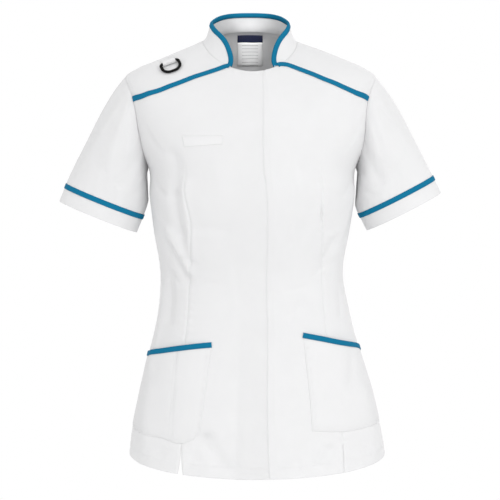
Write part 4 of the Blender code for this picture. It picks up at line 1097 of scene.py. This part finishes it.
def pocket_heights(places):
    """Height of an empty pocket over the front, and of the puckers along its sewn edges."""
    flat = form_at(places)
    across, rise = running_length(flat, 0), running_length(flat, 1)
    edge = np.minimum(np.minimum(across, across[-1:] - across), rise)
    fuller = np.sin(np.pi * (0.03 + 0.94 * POCKET_U))[:, None] ** 0.8
    fuller = fuller * (0.12 + 0.88 * POCKET_V ** 0.7)[None, :]
    drop = POCKET_EDGE_DROP * np.exp(-(edge / POCKET_EDGE_REACH) ** 2)
    full = POCKET_FULLNESS * fuller * np.clip(edge / POCKET_FULL_FROM, 0, 1) + POCKET_LIFT - drop
    inside = np.exp(-(edge / POCKET_PUCKER_END) ** 2) * (1 - np.exp(-(edge / POCKET_PUCKER_START) ** 2))
    return full, PUCKER_HEIGHT * np.sin((across + rise) / POCKET_PUCKER_PITCH) * inside


pockets, pocket_bands, pocket_edges = {}, {}, {}
for name, side in SIDES.items():
    top, bottom = (path(POCKETS[name][edge])(POCKET_U) for edge in ("top", "bottom"))
    outer, inner = (mix(bottom[k], top[k], POCKET_V[:, None]) for k in (0, -1))
    places = filled(outer, inner, bottom, top, POCKET_U, POCKET_V)
    full, puckers = pocket_heights(places)
    if name == "right":
        middle, slant, half_width, depth = DIVISION
        groove = np.exp(-((POCKET_U[:, None] - middle - slant * POCKET_V[None, :]) / half_width) ** 2)
        full = full - np.minimum(depth, DIVISION_SHARE * full) * groove
    points = body_cloth(places, full + puckers)[::-side]
    pockets[name] = (sheet_piece(f"pocket_{name}_cloth", points, double_cloth, wall=POCKET_WALL), points)
    pocket_edges[name] = (places, full)
    line, normals = along_body(top[::-side])
    mouth = line + normals * (full[::-side, -1] + POCKET_BAND_LIFT)[:, None]
    pocket_bands[name] = tape(f"pocket_band_{name}", mouth, beside(line, normals), normals, POCKET_HOOK)

u = spaced(50, near=(0, 1.0, 2.4))[:, None]
lower, upper = (mix(CHEST_POCKET["outer"][k], CHEST_POCKET["inner"][k], u) for k in (0, 1))
v = spaced(13, near=(0, 0.8, 2.0))
places = np.stack([mix(lower, upper, share) for share in v], axis=1)
WELT_LIFTS, WELT_WALL = (0.25, 0.02), 0.14   # at its lower and its upper edge
welt_lift = mix(*WELT_LIFTS, v)[None, :] * np.sin(np.pi * (0.1 + 0.8 * u))
welt = sheet_piece("chest_pocket_welt_cloth", body_cloth(places, welt_lift), double_cloth, wall=WELT_WALL,
                   outward=True)
print("pockets:", [len(o.data.polygons) for o, _ in pockets.values()], "cells")

# %% [markdown]
# ## Label
# A woven label is sewn inside the back of the neck. It stays plain: a navy band above a white body, with a
# few thin grey rules in place of any words.

# %% Label
LABEL_HALF_WIDTH, LABEL_CENTRE_X, LABEL_WALL = 21.0, 2.5, 0.35
# Levels of the upper and lower edge, look and slot
LABEL_PARTS = {"label_band": (58, 74, navy_label, "navy_label"),
               "label_body": (74.5, 108, white_label, "white_label")}
LABEL_DEPTH = WALL + 1.8
labels = []
for name, (first, last, look, slot) in LABEL_PARTS.items():
    level = np.linspace(last, first, 14)
    half = np.degrees(np.arcsin(LABEL_HALF_WIDTH / np.interp(level, RINGS[:, LEVEL], RINGS[:, HALF_WIDTH])))
    shares = np.linspace(-1, 1, 18)[:, None]
    places = np.stack(np.broadcast_arrays(180 - shares * half[None, :], level[None, :]), axis=-1)[::-1]
    bend = 0.5 * np.sin(shares[::-1] * 4 + 1) * np.sin(level / 9)[None, :]
    points = form_at(places) - normal_at(places) * (LABEL_DEPTH + bend)[..., None]
    points[..., 0] += LABEL_CENTRE_X - body_form(180.0, level)[None, :, 0]
    made = sheet_piece(f"{name}_woven", points, look, wall=LABEL_WALL)
    dress(made, name, slot)
    labels.append(made)
print("label:", len(labels), "pieces")

# %% [markdown]
# ## Watch ring and its tab
# A strip of cloth is folded round the straight bar of a moulded ring and box-stitched to the right yoke.
# The ring could be a bent curve; here its oval section is drawn along the outline with extrude and spin,
# as a moulded part's section is.

# %% Ring and tab
RING_ANCHOR = (-64.6, 89.6)
RING_HALF_WIDTH, RING_LENGTH, RING_CORNER, RING_END_CORNER = 14.4, 22.0, 12.0, 4.5
RING_SECTION_HALF_WIDTH, RING_SECTION_HALF_THICKNESS = 2.5, 1.7
TAB_HALF_WIDTH, TAB_LENGTH, TAB_EYE_RADIUS = 10.4, 22.0, 3.3
TAB_WALL, TAB_LIFT, TAB_LAYER_GAP = 0.7, 0.3, 0.3
TAB_EYE_TURN, TAB_EYE_START = 128, 1.5
RING_BAR_HEIGHT = 5.1
RING_REST_TURN = 9.5


def ring_frame():
    """Anchor on the cloth, direction of the bar, direction down the cloth, and outward normal."""
    anchor = body_form(*RING_ANCHOR)
    n = body_normal(*(np.array(v) for v in RING_ANCHOR))
    step = body_form(RING_ANCHOR[0], RING_ANCHOR[1] - 2.0) - anchor
    bar = unit(step - n * (step @ n))
    down = np.cross(bar, n)
    if down[2] > 0:
        down = -down
    return anchor, bar, down, n


anchor, bar, down, out_of_cloth = ring_frame()
lean_angle = math.radians(RING_REST_TURN)
lean = down * math.cos(lean_angle) - out_of_cloth * math.sin(lean_angle)
pivot = anchor + out_of_cloth * RING_BAR_HEIGHT

deselect_all()
bpy.ops.mesh.primitive_circle_add(vertices=20, radius=1.0, location=(0, 0, 0))
ring = bpy.context.object
ring.name = "watch_ring"
half, length, corner, end = RING_HALF_WIDTH, RING_LENGTH, RING_CORNER, RING_END_CORNER
bpy.ops.object.mode_set(mode="EDIT")
bpy.ops.mesh.select_all(action="SELECT")
bpy.ops.transform.rotate(value=math.pi / 2, orient_axis="Y", center_override=(0, 0, 0))
bpy.ops.transform.resize(value=(1, RING_SECTION_HALF_WIDTH, RING_SECTION_HALF_THICKNESS))


def push(x, y):
    bpy.ops.mesh.extrude_region_move(TRANSFORM_OT_translate={"value": (x, y, 0)})


def turn_corner(centre, steps):
    bpy.ops.mesh.spin(steps=steps, angle=-math.pi / 2, center=(*centre, 0), axis=(0, 0, 1), dupli=False)


push(half - end, 0)
turn_corner((half - end, end), 6)
push(0, length - corner - end)
turn_corner((half - corner, length - corner), 14)
push(-2 * (half - corner), 0)
turn_corner((-half + corner, length - corner), 14)
push(0, -(length - corner - end))
turn_corner((-half + end, end), 6)
push(half - end, 0)
bpy.ops.mesh.select_all(action="SELECT")
bpy.ops.mesh.remove_doubles(threshold=0.001)
bpy.ops.mesh.normals_make_consistent(inside=False)
bpy.ops.object.mode_set(mode="OBJECT")
third = np.cross(bar, lean)
basis = Matrix([[bar[k], lean[k], third[k], pivot[k]] for k in range(3)] + [[0, 0, 0, 1]])
ring.data.transform(Matrix.Scale(MM, 4) @ basis)
ring.data.shade_smooth()
print("ring:", len(ring.data.polygons), "faces, at", np.round(pivot), "mm")


def near_anchor(a, b):
    """Place on the form a mm along the bar and b mm down the cloth from the ring's anchor."""
    angle, level = RING_ANCHOR
    per_angle = body_form(angle + 0.5, level) - body_form(angle - 0.5, level)
    per_level = body_form(angle, level + 0.5) - body_form(angle, level - 0.5)
    matrix = np.array(((per_angle @ bar, per_level @ bar), (per_angle @ down, per_level @ down)))
    return np.array(RING_ANCHOR) + np.linalg.solve(matrix, np.array((a, b)))


def tab_line(a):
    """One line of the tab: under layer, eye round the bar, upper layer."""
    def on_cloth(b, lift):
        place = near_anchor(a, b)
        return body_cloth(place[None], lift)[0]

    lower, upper = TAB_LIFT, TAB_LIFT + TAB_WALL + TAB_LAYER_GAP
    centre = pivot + bar * a
    flat = np.linspace(-TAB_LENGTH, -TAB_EYE_RADIUS - TAB_EYE_START, 12)
    eye = [centre + TAB_EYE_RADIUS * (down * math.cos(t) + out_of_cloth * math.sin(t))
           for t in np.radians(np.linspace(-TAB_EYE_TURN, TAB_EYE_TURN, 28))]
    return [on_cloth(b, lower) for b in flat] + eye + [on_cloth(b, upper) for b in flat[::-1]]


tab_rows = TAB_HALF_WIDTH * (2 * spaced(2 * TAB_HALF_WIDTH, 2.0, (0, 0.6, 1.6)) - 1)
tab_points = np.array([tab_line(a) for a in tab_rows])
ring_tab = sheet_piece("ring_tab_cloth", tab_points, white_cloth, wall=TAB_WALL, outward=True)
print("tab:", len(ring_tab.data.polygons), "cells")

# %% [markdown]
# The ring is moulded from black plastic with little gloss. A fine grain lies on its surface, and a larger
# noise makes it unevenly rough, as a ring that is handled all day becomes.

# %% Moulded plastic of the ring
GRAIN_SCALE, GRAIN_BUMP, WEAR_SCALE = 1400.0, 0.00008, 160.0
black_plastic, tree, shader = new_material("black_plastic", 0.4, specular=0.08)
wear = speckle(tree, WEAR_SCALE, 4.0)
feed(tree, shader, "Roughness", wear * 0.25 + 0.28)
two_shades(tree, shader, wear, (0.002, 0.002, 0.002, 1), (0.006, 0.006, 0.0065, 1))
feed(tree, shader, "Normal", bump(tree, 0.3, GRAIN_BUMP, speckle(tree, GRAIN_SCALE)))
ring.data.materials.append(black_plastic)
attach(ring, "ring")
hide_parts("fob_ring")
print("ring finished in", black_plastic.name)

# %% [markdown]
# ## Topstitching
# The seams of a tunic are pressed to one side and topstitched. The rows run a fixed distance from each seam,
# hem and pocket edge; where the photograph shows a twin row, two lines run side by side.

# %% Rows of stitches on each piece
HEM_STITCH, TWIN_GAP, EDGE_STITCH = 18.0, 5.5, 1.6
NECK_ROOM = 0.6          # rows keep this far below the neck seam


def shifted(places, offset):
    """Places beside a line of places on the form, offset in mm to its left seen from outside."""
    points = form_at(places)
    aim = points + beside(points, normal_at(places)) * offset
    moved = places.copy()
    for _ in range(2):
        angle, level = moved.T
        error = aim - body_form(angle, level)
        per_angle = (body_form(angle + 0.2, level) - body_form(angle - 0.2, level)) / 0.4
        per_level = body_form(angle, level + 0.5) - body_form(angle, level - 0.5)
        a11, a22 = (per_angle ** 2).sum(1), (per_level ** 2).sum(1)
        a12 = (per_angle * per_level).sum(1)
        b1, b2 = (error * per_angle).sum(1), (error * per_level).sum(1)
        det = a11 * a22 - a12 ** 2
        moved = moved + np.stack([(a22 * b1 - a12 * b2) / det, (a11 * b2 - a12 * b1) / det], axis=1)
        moved[:, 1] = np.maximum(moved[:, 1], NECK_LEVEL + NECK_ROOM)
    return moved


def body_rows(places, offsets, out=0.0):
    return [along_body(shifted(places, offset), out) for offset in offsets]


def hem_row(first, last, count=120):
    """A row above the hem, from one angle to another."""
    level = np.full(count, HEM_LEVEL - HEM_STITCH)
    return along_body(np.stack([np.linspace(first, last, count), level], axis=1))


lap_line = edge_line(LAP, np.linspace(90, HEM_LEVEL - 2, 200))
sew("front_right", body_rows(lap_line, (-EDGE_STITCH,)) + [hem_row(-88, -35.4), hem_row(-32, 3.6)])
sew("front_left", [hem_row(9, 37), hem_row(39.4, 88)])
sew("back", [hem_row(92, 268, 240)])

for name, side in SIDES.items():
    arm = armhole(mix(FRONT_END + 3, YOKE_END - 3, np.linspace(0, 1, 60)), side)
    back_seam = path(((BACK_YOKE_ANGLE, NECK_LEVEL), armhole(YOKE_END, 1)))(np.linspace(0.04, 0.97, 60))
    lines = body_rows(arm, (side * EDGE_STITCH, side * (EDGE_STITCH + TWIN_GAP)))
    lines += body_rows(back_seam * np.array((side, 1)), (-side * EDGE_STITCH,))
    sew(f"yoke_{name}", lines)

# %% [markdown]
# Rows on a pocket follow its own grid, so that they keep their distance from its turned edges. On the teal
# tapes they run just inside the edges, in teal thread.

# %% Rows on pockets, welt, tab, bands and cuffs
POCKET_ROWS = (2.1, 3.7)          # cells of the grid from the pocket's edges to its two rows
POCKET_ROW_TOP, DIVISION_TOP, DIVISION_GAP = 0.93, 0.9, 0.014    # shares of the pocket
WELT_OUT = 0.12
TAB_TOP = TAB_LIFT + TAB_WALL * 2 + TAB_LAYER_GAP
TAB_BOX = [(-8.6, -6.5), (8.6, -6.5), (8.6, -20.4), (-8.6, -20.4), (-8.6, -6.5), (8.6, -20.4)]
TAPE_EDGE, TAPE_TOP = 0.8, BAND_LIFT + BAND_WALL + 0.15
BINDING_EDGE, MOUTH_EDGE, MOUTH_TOP = 1.0, 2.2, POCKET_BAND_LIFT + 0.4 + BAND_WALL


def pocket_row(name, start, end, count=110):
    """A row on a pocket, between two places given as shares of its grid's columns and rows."""
    places, full = pocket_edges[name]
    share = np.linspace(0, 1, count)
    i, j = (mix(a, b, share) * (size - 1) for a, b, size in zip(start, end, places.shape))
    i0, j0 = (np.clip(k.astype(int), 0, size - 2) for k, size in zip((i, j), places.shape))
    table = np.concatenate([places, full[..., None]], axis=-1)
    lower, upper = (mix(table[i0, row], table[i0 + 1, row], (i - i0)[:, None]) for row in (j0, j0 + 1))
    got = mix(lower, upper, (j - j0)[:, None])
    return along_body(got[:, :2], got[:, 2])


for name in SIDES:
    columns, rows = pocket_edges[name][0].shape[:2]
    lines = []
    for cells in POCKET_ROWS:
        near, low = cells / (columns - 1), cells / (rows - 1)
        lines += [pocket_row(name, (side, low), (side, POCKET_ROW_TOP)) for side in (near, 1 - near)]
        lines.append(pocket_row(name, (near, low), (1 - near, low)))
    if name == "right":
        low = POCKET_ROWS[0] / (rows - 1)
        for gap in (-DIVISION_GAP, DIVISION_GAP):
            share = np.interp(DIVISION[0] + gap, POCKET_U, np.linspace(0, 1, columns))
            lines.append(pocket_row(name, (share, low), (share + DIVISION[1], DIVISION_TOP)))
    sew(f"pocket_{name}", lines)

outer, inner = (np.array(CHEST_POCKET[key], float) for key in ("outer", "inner"))
t = np.linspace(0.02, 0.98, 40)[:, None]
welt_edges = ((outer[1], inner[1], (0, 1.4)), (inner[0], inner[1], (-0.6, 0)), (outer[0], outer[1], (0.6, 0)))
sew("welt", [along_body(mix(a, b, t) + np.array(step), WELT_OUT) for a, b, step in welt_edges])

tab_lines = []
for start, end in zip(TAB_BOX, TAB_BOX[1:]):
    places = [near_anchor(*mix(start, end, share)) for share in np.linspace(0, 1, 12)]
    tab_lines.append(along_body(places, TAB_TOP))
sew("tab", tab_lines)

for name, side in SIDES.items():
    seam = path(YOKE_SEAMS[name])(np.linspace(0.02, 0.98, 110)) * np.array((side, 1))
    offset = YOKE_BAND_HALF_WIDTH - TAPE_EDGE
    sew(f"yoke_band_{name}", body_rows(seam, (-offset, offset), TAPE_TOP), teal_thread)
    cuff, axis, outward = cuff_seam(name, np.linspace(0, 360, 181))
    offset = CUFF_BAND_HALF_WIDTH - TAPE_EDGE
    lines = [(cuff + axis * step + outward * TAPE_TOP, outward) for step in (-offset, offset)]
    sew(f"cuff_band_{name}", lines, teal_thread)
binding = rim + rim_down * (BINDING_WIDTH - BINDING_EDGE) + rim_outward * (BINDING_OUT + BAND_WALL)
sew("collar_binding", [(binding, rim_outward)], teal_thread)
for name, side in SIDES.items():
    shares = np.linspace(0.01, 0.99, 100)
    lifts = np.interp(shares, POCKET_U, pocket_edges[name][1][:, -1]) + MOUTH_TOP
    line, normals = along_body(path(POCKETS[name]["top"])(shares)[::-side])
    line = line + beside(line, normals) * (MOUTH_EDGE - POCKET_BAND_WIDTH) + normals * lifts[::-side, None]
    sew(f"pocket_band_{name}", [(line, normals)], teal_thread)
print("topstitching done")

# %% [markdown]
# ## Put the pieces in the frame
# Each sheet rides on the tunic's body and replaces its solid. The flat cut is measured on the sheet's own
# grid, with 10 mm of allowance on each side.

# %% Ride and replace
for kind, pair in (("yoke_band", yoke_bands), ("cuff_band", cuff_bands), ("pocket_band", pocket_bands)):
    for name in SIDES:
        dress(pair[name], f"{kind}_{name}", "teal_binding")
dress(collar_binding, "collar_binding", "teal_binding")
dress(welt, "chest_pocket_welt", "white_cloth")
dress(ring_tab, "ring_tab", "white_cloth")
BOTH_YOKES = ["yoke_right_cloth", "yoke_left_cloth"]
EXTRA = {"yoke_right": [ring_tab, threads["tab"]], "front_right": [welt, threads["welt"]]}


def dress_side(kind, name, pieces, held, rest, rows, tapes=(), **more):
    """Dresses one side's piece, which rests on another piece of that side and carries tapes and rows."""
    piece, points = pieces[name]
    sewn = [*tapes, *(threads[f"{row}_{name}"] for row in rows), *EXTRA.get(f"{kind}_{name}", ())]
    dress(piece, f"{kind}_{name}", "white_cloth", points, held, [f"{rest}_{name}_cloth"], sewn, **more)


for name in SIDES:
    dress_side("yoke", name, yokes, "laid", "front", ("yoke", "yoke_band"), [yoke_bands[name]])
    dress_side("sleeve", name, sleeves, "hung", "yoke", (), [cuff_bands[name]])
    dress_side("cuff", name, cuffs, "folded", "sleeve", ("cuff_band",), allowance=4.0)
    dress_side("pocket", name, pockets, "laid", "front", ("pocket", "pocket_band"), [pocket_bands[name]])
for name in SIDES:
    dress_side("front", name, fronts, "hung", "yoke", ("front",))
dress(back, "back", "white_cloth", back_points, "hung", BOTH_YOKES, [threads["back"], *labels])
dress(collar, "collar", "white_cloth", collar_points, "folded", BOTH_YOKES,
      [collar_binding, threads["collar_binding"]], allowance=6.0)

# %% [markdown]
# ## Floor, light and camera
# The tunic hangs in the air, as if worn, above a plain pale floor that lies out of the photograph's frame.
# A white world gives most of the light, as white studio walls do. A large soft key light stands in front at
# the viewer's right and above, a weaker fill low in front, and a third light behind. Two narrow lights reach
# into the neck, one on the collar's inside and one on the label. The camera has a long lens.

# %% Set the stage
FLOOR_LEVEL, FLOOR_SIZE = -1.55, 5.0
deselect_all()
bpy.ops.mesh.primitive_plane_add(size=FLOOR_SIZE, location=(0, 0, FLOOR_LEVEL))
floor = bpy.context.object
floor.name = "studio_floor"
bpy.ops.object.transform_apply(location=True)
floor_look, tree, shader = new_material("floor_paint", 0.8, specular=0.2)
two_shades(tree, shader, speckle(tree, 3.0), (0.78, 0.78, 0.78, 1), (0.82, 0.82, 0.82, 1))
floor.data.materials.append(floor_look)

world = bpy.data.worlds.new("studio")
world.use_nodes = True
world.node_tree.nodes["Background"].inputs["Color"].default_value = (1.0, 1.0, 1.0, 1)
world.node_tree.nodes["Background"].inputs["Strength"].default_value = 1.0
bpy.context.scene.world = world
bpy.context.scene.view_settings.view_transform = "Standard"


def stand(name, data, place, target):
    """An object at a place, turned towards its target."""
    made = bpy.data.objects.new(name, data)
    made.location = place
    made.rotation_euler = (Vector(target) - Vector(place)).to_track_quat("-Z", "Y").to_euler()
    bpy.context.scene.collection.objects.link(made)
    return made


def soft_light(name, place, target, size, power):
    lamp = bpy.data.lights.new(name, "AREA")
    lamp.shape = "RECTANGLE"
    lamp.size, lamp.size_y = size
    lamp.energy = power
    stand(name, lamp, place, target)


def narrow_light(name, place, target, spread, power):
    lamp = bpy.data.lights.new(name, "SPOT")
    lamp.energy = power
    lamp.spot_size = math.radians(spread)
    lamp.spot_blend = 0.6
    lamp.shadow_soft_size = 0.01
    stand(name, lamp, place, target)


CHEST = (0.0, 0.0, -0.3)
soft_light("key_light", (1.5, -2.6, 0.9), CHEST, (1.0, 1.2), 22.5)
soft_light("fill_light", (-0.4, -3.0, -0.4), CHEST, (1.2, 1.6), 11.0)
soft_light("back_light", (0.9, 2.8, 0.9), CHEST, (1.2, 1.4), 18.0)
narrow_light("neck_light", (0.0, -1.5, 0.75), (0.0025, 0.06, 0.034), 2.4, 42.0)
narrow_light("label_light", (0.0025, -1.5, 0.75), (0.0025, 0.09, -0.006), 1.5, 72.0)

CAMERA_PLACE, CAMERA_TARGET = (0.0024, -2.5, -0.2), (0.0024, 0.0, -0.333)
lens = bpy.data.cameras.new("camera")
lens.sensor_width = 36.0
lens.lens = 112.66
bpy.context.scene.camera = stand("camera", lens, CAMERA_PLACE, CAMERA_TARGET)
print("camera at", CAMERA_PLACE, "looks at", CAMERA_TARGET)
